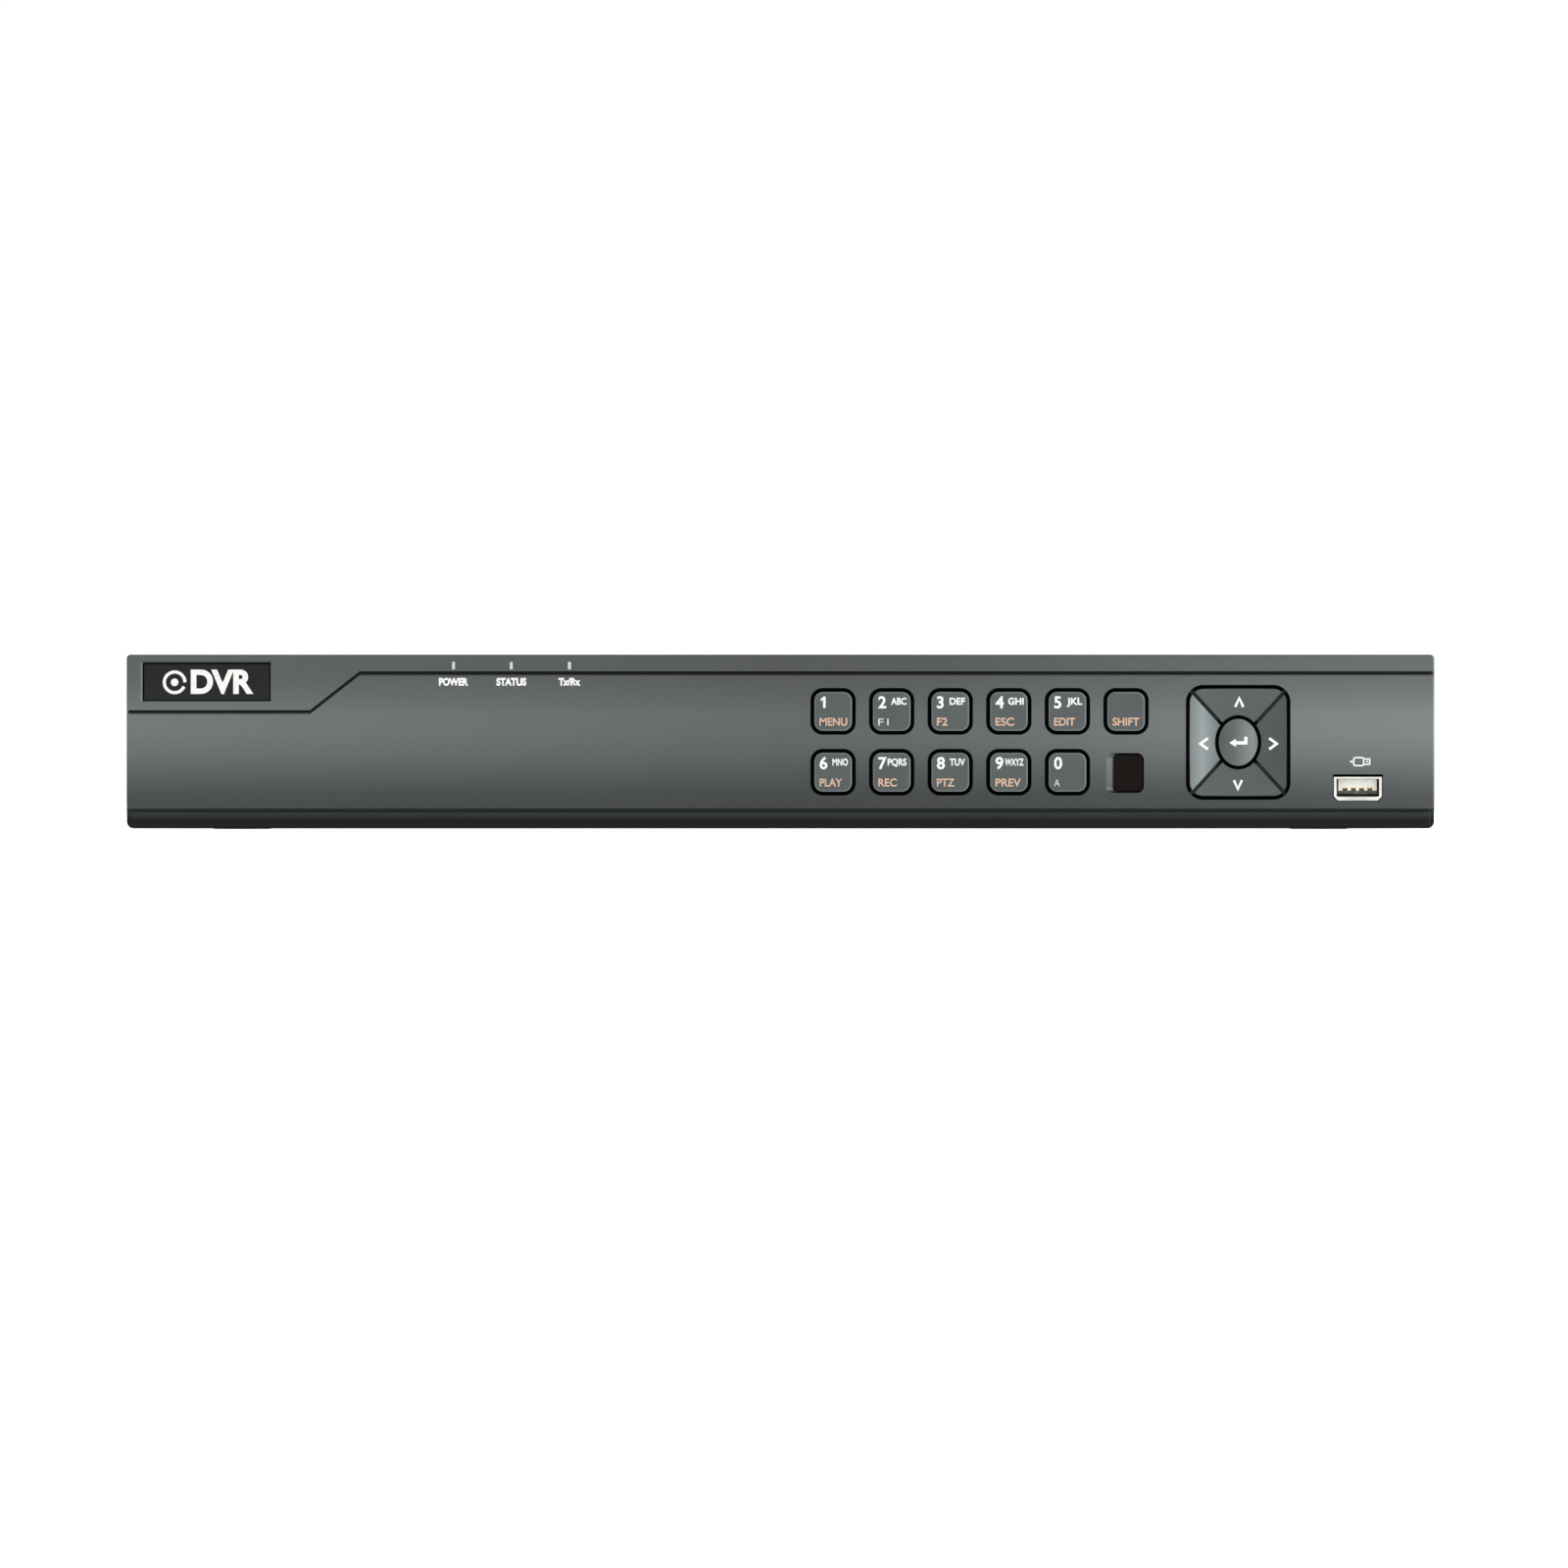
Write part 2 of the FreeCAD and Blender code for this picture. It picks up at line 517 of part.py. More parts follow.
def fascia_plate():
    edge = 0.6
    middle, height = (LIP_TOP + GROOVE + BEZEL_TOP) / 2, BEZEL_TOP - LIP_TOP - GROOVE
    plate = rounded(0, middle, WIDTH, height, 1.2, FASCIA_FACE, FASCIA_BACK)
    plate = soften(plate, edge, on_plane_y(FASCIA_FACE))
    cuts = key_openings(FASCIA_FACE - 1, FASCIA_BACK + 1)
    cuts.append(usb_window(FASCIA_FACE - 1, FASCIA_BACK + 1))
    cuts += [rounded(*IR_CENTRE, *IR_SIZE, FASCIA_FACE, FASCIA_BACK + 1),
             tapered(rounded_wire(*IR_RECESS), FASCIA_FACE, rounded_wire(*IR_CENTRE, *IR_SIZE),
                     FASCIA_BACK)]
    cuts.append(tapered(rectangle(*BADGE_POCKET), FASCIA_FACE, rectangle(*BADGE),
                        FASCIA_FACE + BADGE_DEPTH))
    cuts += [box(x - 0.55, x + 0.55, FASCIA_FACE - 1, FASCIA_BACK + 1,
                 LIGHT_Z - 1.2, LIGHT_Z + 1.2) for x in LIGHT_X]
    g = GROOVE / 2
    path = [(-HALF - 1, STEP_GROOVE_Z), (STEP_X[0], STEP_GROOVE_Z),
            (STEP_X[1], STRIP_GROOVE_Z), (HALF + 1, STRIP_GROOVE_Z)]
    band = ([(x, z + g) for x, z in path] + [(x, z - g) for x, z in reversed(path)])
    slope = ([(x, z) for x, z in path]
             + [(x, z - g - GROOVE_BEVEL) for x, z in reversed(path)])
    root = [(x, z) for x, z in path] + [(x, z - g) for x, z in reversed(path)]
    cuts.append(prism_y(band, FASCIA_FACE - 1, FASCIA_FACE + GROOVE_DEPTH))
    cuts.append(tapered(slope, FASCIA_FACE, root, FASCIA_FACE + GROOVE_BEVEL))
    for cutter in cuts:
        plate = plate.cut(cutter)
    return plate.removeSplitter()


def rectangle(x0, x1, z0, z1):
    """Corner points of an upright rectangle."""
    return [(x0, z0), (x1, z0), (x1, z1), (x0, z1)]


def badge_plate():
    x0, x1, z0, z1 = BADGE
    plate = box(x0 + 0.05, x1 - 0.05, FASCIA_FACE + BADGE_DEPTH - 0.45, FASCIA_FACE + BADGE_DEPTH,
                z0 + 0.05, z1 - 0.05)
    return soften(plate, 0.15, on_plane_y(FASCIA_FACE + BADGE_DEPTH - 0.45))


def key_stem(x, z):
    """Post that reaches from the key's flange to the switch behind it."""
    return rod_y(x, z, 1.6, -155.0, -154.05)


def number_key(x, z):
    w, h, r = KEY_HOLE
    cap = rounded(x, z, w - 2 * KEY_GAP, h - 2 * KEY_GAP, r - KEY_GAP, KEY_FACE, FLANGE_FRONT)
    cap = soften(cap, 0.5, on_plane_y(KEY_FACE))
    flange = rounded(x, z, w + 2.2, h + 2.2, r + 1, FLANGE_FRONT, FLANGE_BACK)
    return union([cap, flange, key_stem(x, z)])


def pad_key(side):
    """One quarter of the pad: side is the (x, z) direction it faces."""
    w, h, r = PAD_HOLE
    cx, cz = PAD_CENTRE
    cap = rounded(cx, cz, w - 2 * KEY_GAP, h - 2 * KEY_GAP, r - KEY_GAP, KEY_FACE, FLANGE_FRONT)
    cap = soften(cap, 0.6, on_plane_y(KEY_FACE))
    reach, depth = PAD_BOWL
    curve = (reach ** 2 + depth ** 2) / (2 * depth)
    cap = cap.cut(Part.makeSphere(curve, V(cx, KEY_FACE + depth - curve, cz)))
    flange = rounded(cx, cz, w + 2.2, h + 2.2, r + 1, FLANGE_FRONT, FLANGE_BACK)
    disc = cap.fuse(flange)
    a, b = PAD_OVAL
    disc = disc.cut(oval(cx, cz, a, b, KEY_FACE - 1, FLANGE_FRONT))
    disc = disc.cut(oval(cx, cz, a + 1.6, b + 1.6, -156.4, -154))
    half = PAD_SLOT / 2
    up = (w / 2, h / 2)
    length = math.hypot(*up)
    nx, nz = half * up[1] / length, half * up[0] / length
    if side[0]:
        s = side[0]
        wedge = [(cx + s * half * length / up[1], cz), (cx + s * (3 * up[0] + nx), cz + 3 * up[1] - nz),
                 (cx + s * (3 * up[0] + nx), cz - 3 * up[1] + nz)]
    else:
        s = side[1]
        wedge = [(cx, cz + s * half * length / up[0]), (cx + 3 * up[0] - nx, cz + s * (3 * up[1] + nz)),
                 (cx - 3 * up[0] + nx, cz + s * (3 * up[1] + nz))]
    quarter = disc.common(prism_y(wedge, KEY_FACE - 1, -154))
    return union([quarter, key_stem(*pad_switch(side))])


def pad_switch(side):
    return PAD_CENTRE[0] + side[0] * 11.2, PAD_CENTRE[1] + side[1] * 12.4


def enter_key():
    a, b = PAD_OVAL
    x, z = PAD_CENTRE
    cap = oval(x, z, a - KEY_GAP, b - KEY_GAP, KEY_FACE, FLANGE_FRONT)
    cap = cap.common(Part.makeSphere(ENTER_DOME, V(x, KEY_FACE + 0.1 + ENTER_DOME, z)))
    flange = oval(x, z, a + 0.9, b + 0.9, FLANGE_FRONT, FLANGE_BACK)
    return union([cap, flange, key_stem(x, z)])


def ir_window():
    w, h, r = IR_SIZE
    lens = rounded(*IR_CENTRE, w - 0.2, h - 0.2, r - 0.1, FASCIA_FACE + 0.9, WEB_BACK)
    lens = soften(lens, 0.2, on_plane_y(FASCIA_FACE + 0.9))
    flange = rounded(*IR_CENTRE, w + 2.4, h + 2.4, r + 1, WEB_BACK, WEB_BACK + 0.8)
    return union([lens, flange])


def light_pipes():
    pipes = []
    for x in LIGHT_X:
        pipe = box(x - 0.45, x + 0.45, FASCIA_FACE - 0.1, BOARD_FRONT - 1.4,
                   LIGHT_Z - 1.1, LIGHT_Z + 1.1)
        collar = box(x - 1.6, x + 1.6, WEB_BACK, WEB_BACK + 1, LIGHT_Z - 2.3, BEZEL_TOP - 2.1)
        pipes.append(union([pipe, collar]))
    return pipes


def switch_places():
    """Centres of the tact switches, one behind every key."""
    pads = [pad_switch(side) for side in ((0, 1), (0, -1), (-1, 0), (1, 0))]
    return list(key_places().values()) + pads + [PAD_CENTRE]


def front_boards():
    y0, y1 = BOARD_FRONT, BOARD_BACK
    keypad = box(-120, 158, y0, y1, 6.9, 44.5).fuse(box(-120, -50, y0, y1, 44.4, 48.6))
    x = FRONT_USB[0]
    cuts = [rod_y(px, pz, 1.25, y0 - 1, y1 + 1) for px, pz in board_screws()]
    keypad = keypad.cut(Part.makeCompound(cuts)).removeSplitter()
    usb = box(x - 8.2, x + 14, -154.6, -122, USB_BOARD_TOP - 1.6, USB_BOARD_TOP)
    holes = [rod(AXIS_Z, (px, py, 0), 1.5, 20) for px, py in USB_SCREWS]
    return [keypad, usb.cut(Part.makeCompound(holes))]


def keypad_components():
    """Tact switches, indicator lamps and the infrared receiver on the keypad board."""
    parts = []
    for x, z in switch_places():
        body = box(x - 3, x + 3, -153.1, BOARD_FRONT, z - 3, z + 3)
        parts.append(union([body, rod_y(x, z, 1.7, -153.5, -153.0)]))
    for x in LIGHT_X:
        parts.append(box(x - 0.8, x + 0.8, BOARD_FRONT - 1.2, BOARD_FRONT,
                         LIGHT_Z - 0.6, LIGHT_Z + 0.6))
    x, z = IR_CENTRE
    receiver = box(x - 3, x + 3, BOARD_FRONT - 2.4, BOARD_FRONT, z - 3.4, z + 3.4)
    parts.append(receiver.fuse(rod_y(x, z + 0.6, 2.2, BOARD_FRONT - 3.6, BOARD_FRONT - 2)))
    x, z = RIBBON_X, 20.0
    plug = box(x - 11.5, x + 11.5, BOARD_BACK, BOARD_BACK + 1.4, z - 2.8, z + 2.8)
    parts.append(plug)
    return parts


# ---- sockets -----------------------------------------------------------------------------
def usb_shell(x, z, mouth, towards, board):
    """Metal shell of a USB socket: open at Y mouth, on legs down to the board's top."""
    w, h, wall, length = 13.2, 6.4, 0.4, 14.0
    low, high = z - 3.3, z - 3.3 + h

    def ring(inset):
        cut = 1.1
        return [(x - w / 2 + inset, high - inset), (x + w / 2 - inset, high - inset),
                (x + w / 2 - inset, low + cut), (x + w / 2 - cut, low + inset),
                (x - w / 2 + cut, low + inset), (x - w / 2 + inset, low + cut)]
    shell = prism_y(ring(0), mouth, mouth + towards * length)
    room = prism_y(ring(wall), mouth - towards, mouth + towards * (length - wall))
    lip = [(x - 6.95, z + 3.25), (x + 6.95, z + 3.25), (x + 6.95, z - 2.4),
           (x + 5.75, z - 3.6), (x - 5.75, z - 3.6), (x - 6.95, z - 2.4)]
    mouth_lip = prism_y(lip, mouth, mouth + towards * 0.5)
    mouth_lip = mouth_lip.cut(box(x - 6.2, x + 6.2, mouth - 1, mouth + 1, z - 2.5, z + 2.8))
    leg_y = mouth + towards * 8
    legs = [box(x + side * w / 2, x + side * (w / 2 - wall), leg_y, leg_y + towards * 3,
                board, low + 1.3) for side in (-1, 1)]
    return union([shell.cut(room), mouth_lip] + legs)


def usb_tongue(x, z, mouth, towards):
    """Tongue of a USB socket, against the roof, with the block that carries it."""
    y0, back = mouth + towards * 2.8, mouth + towards * 13.5
    tongue = box(x - 5.6, x + 5.6, y0, back, z - 0.7, z + 2.6)
    notches = [box(x + dx - 0.7, x + dx + 0.7, y0, y0 + towards * 8, z - 1, z + 0.2)
               for dx in (-3.6, -1.2, 1.2, 3.6)]
    tongue = tongue.cut(Part.makeCompound(notches))
    block = box(x - 6.1, x + 6.1, mouth + towards * 10.6, back, z - 1.7, z + 2.6)
    return union([tongue, block])


def video_jack(x, z):
    """Bayonet video jack: metal shell, white insulator and centre contact."""
    ring = rod_y(x, z, 4.8, JACK_TIP - VIDEO_RING, JACK_TIP)
    ring = soften(ring, 0.35, on_plane_y(JACK_TIP))
    barrel = rod_y(x, z, 4.55, PANEL_IN - 5, JACK_TIP - VIDEO_RING)
    collar = rod_y(x, z, 6.6, PANEL_OUT, PANEL_OUT + 0.9)
    collar = soften(collar, 0.3, on_plane_y(PANEL_OUT + 0.9))
    step = rod_y(x, z, 5.6, PANEL_OUT, PANEL_OUT + 2.4)
    lugs = rod(AXIS_X, (x - 5.7, JACK_TIP - 5.6, z), 1.0, 11.4)
    shell = union([ring, barrel, collar, step, lugs])
    shell = shell.cut(rod_y(x, z, 4.05, PANEL_OUT + 2, JACK_TIP + 1))
    shell = shell.cut(rod_y(x, z, 2.6, PANEL_IN - 6, PANEL_OUT + 3))
    post = rod_y(x, z, 2.5, PANEL_IN - 5, JACK_TIP - 3.6)
    post = soften(post, 0.5, on_plane_y(JACK_TIP - 3.6))
    seat = rod_y(x, z, 2.6, PANEL_IN - 5, PANEL_OUT + 2)
    insulator = union([post, seat]).cut(rod_y(x, z, 1.05, PANEL_IN - 6, JACK_TIP))
    contact = rod_y(x, z, 1.05, PANEL_IN - 5, JACK_TIP - 8.0)
    contact = contact.cut(rod_y(x, z, 0.6, PANEL_IN + 1, JACK_TIP))
    return shell, insulator, contact


def audio_jack(x, z, wide):
    """Phono jack: thin metal sleeve round a coloured plastic core with a round hole."""
    tip = PANEL_OUT + 8.0
    sleeve = rod_y(x, z, 4.0, PANEL_OUT + 0.6, tip)
    sleeve = soften(sleeve, 0.4, on_plane_y(tip))
    sleeve = union([sleeve, rod_y(x, z, 3.75, PANEL_IN - 4, PANEL_OUT + 0.6)])
    if wide:
        sleeve = union([sleeve, rod_y(x, z, 5.2, PANEL_OUT, PANEL_OUT + 0.6)])
    sleeve = sleeve.cut(rod_y(x, z, 3.25, PANEL_IN - 5, tip + 1))
    core = rod_y(x, z, 3.25, PANEL_IN - 4, tip - 0.5)
    core = core.cut(rod_y(x, z, 1.65, PANEL_IN, tip + 1))
    mouth = Part.makeCone(1.65, 2.25, 0.6, V(x, tip - 1.1, z), AXIS_Y)
    return sleeve, core.cut(mouth)


def hd_outline(inset):
    """Outline of the flat video port, with its lower corners cut off."""
    x, z = HD_PORT
    w, top, low, cut = 7.5 - inset, z + 3.0 - inset, z - 2.9 + inset, 2.4
    return [(x - w, top), (x + w, top), (x + w, low + cut), (x + w - cut, low),
            (x - w + cut, low), (x - w, low + cut)]


def hd_port():
    x, z = HD_PORT
    back = PANEL_OUT - 11.5
    shell = prism_y(hd_outline(0), back, PANEL_OUT + 0.4)
    shell = shell.cut(prism_y(hd_outline(0.4), back + 0.4, PANEL_OUT + 1))
    legs = [box(x + side * 7.5, x + side * 7.1, back + 3, back + 6, BOARD_TOP, z - 0.5)
            for side in (-1, 1)]
    shell = union([shell] + legs)
    tongue = box(x - 5.6, x + 5.6, back + 0.4, PANEL_OUT - 1.0, z - 0.3, z + 0.5)
    block = box(x - 6.9, x + 6.9, back + 0.4, back + 3, z - 0.3, z + 2.5)
    return shell, union([tongue, block])


def vga_port():
    x, z = VGA_PORT
    plate = prism_y(round_outline([(x - 15.3, z + 6.1), (x + 15.3, z + 6.1),
                                   (x + 15.3, z - 6.1), (x - 15.3, z - 6.1)], 1.0),
                    PANEL_IN - 1.2, PANEL_IN)
    sleeve = prism_y(d_outline(x, z, 16.6, 8.4), PANEL_IN - 1.0, PANEL_OUT + 5.4)
    shell = plate.fuse(sleeve)
    shell = shell.cut(prism_y(d_outline(x, z, 15.8, 7.6), PANEL_IN - 2, PANEL_OUT + 6))
    holes = [rod_y(x + side * VGA_SCREW_SPACING / 2, z, 1.6, PANEL_IN - 2, PANEL_IN + 1)
             for side in (-1, 1)]
    shell = shell.cut(Part.makeCompound(holes)).removeSplitter()
    insert = prism_y(d_outline(x, z, 15.7, 7.5), PANEL_IN - 1.2, PANEL_OUT + 4.6)
    block = box(x - 15.3, x + 15.3, PANEL_IN - 8, PANEL_IN - 1.2, BOARD_TOP, z + 6.1)
    insert = insert.fuse(block)
    pins = []
    for row in range(3):
        for i in range(5):
            px = x + 2.29 * (i - 2) + (0.57 if row % 2 else -0.57)
            pins.append(rod_y(px, z + 1.98 * (row - 1), 0.55, PANEL_OUT + 0.6, PANEL_OUT + 6))
    pins += [rod_y(x + side * VGA_SCREW_SPACING / 2, z, 1.6, PANEL_IN - 9, PANEL_IN)
             for side in (-1, 1)]
    insert = insert.cut(Part.makeCompound(pins)).removeSplitter()
    screws = []
    for side in (-1, 1):
        sx = x + side * VGA_SCREW_SPACING / 2
        head = hexagon(sx, z, 4.8, PANEL_OUT, PANEL_OUT + 5.0)
        screw = head.fuse(rod_y(sx, z, 1.5, PANEL_IN - 6, PANEL_OUT + 0.5))
        screws.append(screw.cut(rod_y(sx, z, 1.3, PANEL_OUT + 0.6, PANEL_OUT + 6)))
    return shell, insert, screws


def hexagon(x, z, across_flats, y0, y1):
    r = across_flats / math.sqrt(3)
    points = [(x + r * math.cos(math.radians(60 * i)), z + r * math.sin(math.radians(60 * i)))
              for i in range(6)]
    return prism_y(points, y0, y1)


def lan_port():
    x, low, w, h = LAN_PORT
    front, back = PANEL_OUT + 0.5, PANEL_OUT - 20.5
    mouth = lan_mouth(x, low)
    shell = box(x - w / 2, x + w / 2, back, front, low, low + h)
    shell = shell.cut(box(x - w / 2 + 0.4, x + w / 2 - 0.4, back - 1, front - 0.4,
                          low - 1, low + h - 0.4))
    shell = shell.cut(prism_y(mouth, front - 2, front + 1)).removeSplitter()
    insert = box(x - w / 2 + 0.4, x + w / 2 - 0.4, back, front - 0.4, low, low + h - 0.4)
    insert = insert.cut(prism_y(mouth, front - 13.5, front + 1)).removeSplitter()
    return shell, insert


def lan_mouth(x, low):
    """Outline of the network socket's opening, stepped at the bottom for the plug's clip."""
    return [(x - 6.2, low + 11.5), (x + 6.2, low + 11.5), (x + 6.2, low + 3.9),
            (x + 3.7, low + 3.9), (x + 3.7, low + 2.2), (x + 2.3, low + 2.2),
            (x + 2.3, low + 0.9), (x - 2.3, low + 0.9), (x - 2.3, low + 2.2),
            (x - 3.7, low + 2.2), (x - 3.7, low + 3.9), (x - 6.2, low + 3.9)]


def terminal_block(block, end):
    """Green terminal block: a wire entry and a lever slot per way, and a low plain end."""
    x0, x1, first, ways = block
    z0, z1 = TERMINAL_Z
    back, nose = PANEL_IN - 9, PANEL_OUT + 1.8
    parts = [box(x0, x1, back, nose, z0, z1), box(x0, x1, back, PANEL_IN, BOARD_TOP, z1)]
    parts.append(box(x1 + 0.5, end, back, nose, z0, SHOULDER_TOP))
    cuts = []
    for i in range(ways):
        x = first - TERMINAL_PITCH * i
        cuts.append(rod_y(x, 17.4, 1.0, PANEL_IN - 6, nose + 1))
        cuts.append(box(x - 1.05, x + 1.05, PANEL_IN - 7, nose + 1, LEVER[0] - 0.2, LEVER[1] + 0.1))
    cuts.append(box(x0 + 1, x1 - 1, PANEL_IN - 2, nose + 1, LEVER[0] - 0.2, z1 + 1))
    return union(parts).cut(Part.makeCompound(cuts)).removeSplitter()


def lever(x):
    z0, z1 = LEVER
    tongue = box(x - 0.95, x + 0.95, PANEL_IN - 5, LEVER_OUT, z0, z1)
    return tongue.cut(box(x - 0.4, x + 0.4, LEVER_OUT - 0.6, LEVER_OUT + 1, z0 + 0.6, z1 - 0.5))


def dc_socket():
    """Round four-way power socket: flange, metal ring and keyed core in one."""
    x, z = POWER_SOCKET
    flange = rod_y(x, z, 6.7, PANEL_OUT, PANEL_OUT + 1.6)
    flange = soften(flange, 0.5, on_plane_y(PANEL_OUT + 1.6))
    body = rod_y(x, z, 6.1, PANEL_IN - 9, PANEL_OUT + 0.5)
    block = box(x - 7, x + 7, PANEL_IN - 10, PANEL_IN, BOARD_TOP, z + 6.5)
    socket = union([flange, body, block])
    socket = socket.cut(rod_y(x, z, 5.1, PANEL_OUT - 0.6, PANEL_OUT + 2))
    socket = socket.fuse(rod_y(x, z, 4.4, PANEL_OUT - 1, PANEL_OUT + 1.2))
    cuts = [box(x - 0.9, x + 0.9, PANEL_OUT - 0.6, PANEL_OUT + 2, z + 3.4, z + 5.1)]
    for angle in (45, 135, 225, 315):
        a = math.radians(angle)
        cuts.append(rod_y(x + 2.3 * math.cos(a), z + 2.3 * math.sin(a), 0.75,
                          PANEL_IN - 4, PANEL_OUT + 2))
    return socket.cut(Part.makeCompound(cuts)).removeSplitter()


def switch_frame():
    x, z = SWITCH
    rim = rounded(x, z, 21.1, 15.0, 1.2, PANEL_OUT, PANEL_OUT + 2.0)
    rim = soften(rim, 0.7, on_plane_y(PANEL_OUT + 2.0))
    body = box(x - 9.5, x + 9.5, PANEL_IN - 12, PANEL_OUT + 0.2, z - 6.3, z + 6.3)
    frame = rim.fuse(body)
    pocket = box(x - 7.5, x + 7.5, PANEL_IN - 7, PANEL_OUT + 3, z - 5.2, z + 5.2)
    return frame.cut(pocket).removeSplitter()


def switch_rocker():
    """Rocker with two flat faces meeting in a shallow V, tilted to its first rest."""
    x, z = SWITCH
    half, reach = 6.7, PANEL_OUT + 2.6
    outline = [V(x - half, reach + 0.2, 0), V(x, reach - 1.0, 0), V(x + half, reach + 0.2, 0),
               V(x + half, SWITCH_PIVOT_Y - 0.6, 0), V(x + 2.4, SWITCH_PIVOT_Y - 3.2, 0),
               V(x - 2.4, SWITCH_PIVOT_Y - 3.2, 0), V(x - half, SWITCH_PIVOT_Y - 0.6, 0)]
    face = Part.Face(Part.makePolygon(outline + outline[:1]))
    face.translate(V(0, 0, z - 4.9))
    rocker = face.extrude(V(0, 0, 9.8))
    rocker.rotate(V(x, SWITCH_PIVOT_Y, z), AXIS_Z, -SWITCH_TILT)
    return rocker


# ---- screws ------------------------------------------------------------------------------
def screw(point, direction, head_radius, head_height, shank_radius, length, slot):
    """Pan-head screw with a cross recess; point is where the head sits."""
    head = Part.makeCylinder(head_radius, head_height)
    head = soften(head, head_height * 0.6, lambda e: e.BoundBox.ZMin > head_height - 1e-4)
    body = head.fuse(Part.makeCylinder(shank_radius, length, V(0, 0, -length)))
    reach = head_radius * 0.7
    depth = head_height * 0.72
    for dx, dy in ((reach, slot / 2), (slot / 2, reach)):
        body = body.cut(Part.makeBox(2 * dx, 2 * dy, depth + 1, V(-dx, -dy, head_height - depth)))
    return placed(body.removeSplitter(), point, direction)


def silver_screws():
    group = [screw((x, PANEL_OUT, VIDEO_SCREW_Z), AXIS_Y, 1.95, 1.2, 1.2, 6, 0.55)
             for x in VIDEO_SCREW_X]
    group += [screw((x, PANEL_OUT, z), AXIS_Y, 2.45, 1.5, 1.2, 6, 0.7) for x, z in AUDIO_SCREWS]
    group += [screw((x, BOARD_BACK, z), AXIS_Y, 2.2, 1.2, 0.9, 5, 0.6)
              for x, z in board_screws()]
    group += [screw((x, y, BOARD_TOP), AXIS_Z, 2.6, 1.6, 1.1, 4.4, 0.7) for x, y in BOARD_BOSSES]
    group += [screw((x, y, FLOOR_Z + 1.4), -AXIS_Z, 3.1, 1.3, 1.6, 4.0, 0.8)
              for x, y in drive_screws()]
    group += [screw((x, y, USB_BOARD_TOP), AXIS_Z, 2.4, 1.4, 1.1, 4.0, 0.6)
              for x, y in USB_SCREWS]
    return group


# ---- inside ------------------------------------------------------------------------------
def mainboard():
    z0 = BOARD_BOTTOM
    board = union([box(-183, 183, 62, 145.5, z0, BOARD_TOP),
                   box(-58, 58, 22, 62.1, z0, BOARD_TOP)])
    holes = [rod(AXIS_Z, (x, y, 0), 1.6, 20) for x, y in BOARD_BOSSES]
    return board.cut(Part.makeCompound(holes)).removeSplitter()


def video_jack_block(centre, columns):
    """Plastic block behind a set of video jacks, with the bores they sit in."""
    half = 16 if columns > 1 else 7.5
    front, middle, back = PANEL_IN - 0.2, PANEL_IN - 13, PANEL_IN - 21
    if columns > 1:
        body = box(centre - half, centre + half, middle, front, BOARD_TOP, 40)
    else:
        body = union([box(centre - half, centre + half, middle, front, 25, 40),
                      box(centre - half, centre + half, back, middle, BOARD_TOP, 40)])
    bores = [rod_y(x, z, 4.85, PANEL_IN - 5.1, front + 1) for x, z in video_jacks()
             if abs(x - centre) < half]
    bores += [rod_y(x, VIDEO_SCREW_Z, 1.25, PANEL_IN - 6, front + 1) for x in VIDEO_SCREW_X
              if abs(x - centre) < half]
    return body.cut(Part.makeCompound(bores)).removeSplitter()


def audio_jack_blocks():
    front, back = PANEL_IN - 0.2, PANEL_IN - 14
    tall = box(-55.5, -40.5, back, front, BOARD_TOP, 36.5)
    wide = union([box(-98, -56.5, back, front, 25, 36.5),
                  box(-98, -56.5, back - 7, back, 25, 36.5),
                  box(-98, -93, back - 7, back - 0.5, BOARD_TOP, 25),
                  box(-80, -75, back - 7, back - 0.5, BOARD_TOP, 25)])
    bores = [rod_y(x, z, 4.05, PANEL_IN - 4.1, front + 1) for x, z in audio_jacks()]
    bores += [rod_y(x, z, 1.25, PANEL_IN - 6, front + 1) for x, z in AUDIO_SCREWS]
    bores = Part.makeCompound(bores)
    return [tall.cut(bores).removeSplitter(), wide.cut(bores).removeSplitter()]


def board_components():
    parts = []
    pairs = [VIDEO_X0 - VIDEO_PITCH * (2 * i + 0.5) for i in range(4)]
    parts += [video_jack_block(x, 2) for x in pairs]
    parts.append(video_jack_block(VIDEO_OUT[0], 1))
    parts += audio_jack_blocks()
    for x, y, w, d, h in CHIPS:
        parts.append(box(x - w / 2, x + w / 2, y - d / 2, y + d / 2, BOARD_TOP, BOARD_TOP + h))
    for x, y, r, h in CAPACITORS:
        can = rod(AXIS_Z, (x, y, BOARD_TOP), r, h)
        parts.append(soften(can, 0.8, lambda e: e.BoundBox.ZMin > BOARD_TOP + h - 1e-4))
    for x in PLUG_X:
        parts.append(box(x - 8, x + 8, 66, 74, BOARD_TOP, BOARD_TOP + 7))
    parts.append(box(-11.5, 11.5, 26, 32, BOARD_TOP, BOARD_TOP + 4.5))
    parts.append(box(-166, -158, 68, 74, BOARD_TOP, BOARD_TOP + 6))
    parts.append(box(156, 164, 66, 74, BOARD_TOP, BOARD_TOP + 6))
    return parts


def heatsink():
    x, y, w, d, h = CHIPS[0]
    low = BOARD_TOP + h
    base = box(x - 20, x + 20, y - 20, y + 20, low, low + 3)
    fins = [box(x - 20 + 4.875 * i, x - 19 + 4.875 * i, y - 20, y + 20, low + 2.5, low + 15)
            for i in range(9)]
    return union([base] + fins)


def fan_place(shape):
    """Moves a shape built round +Z, intake at 0, into the fan's place in the left wall."""
    x, y, z = FAN
    return placed(shape, (x, y, z), AXIS_X)


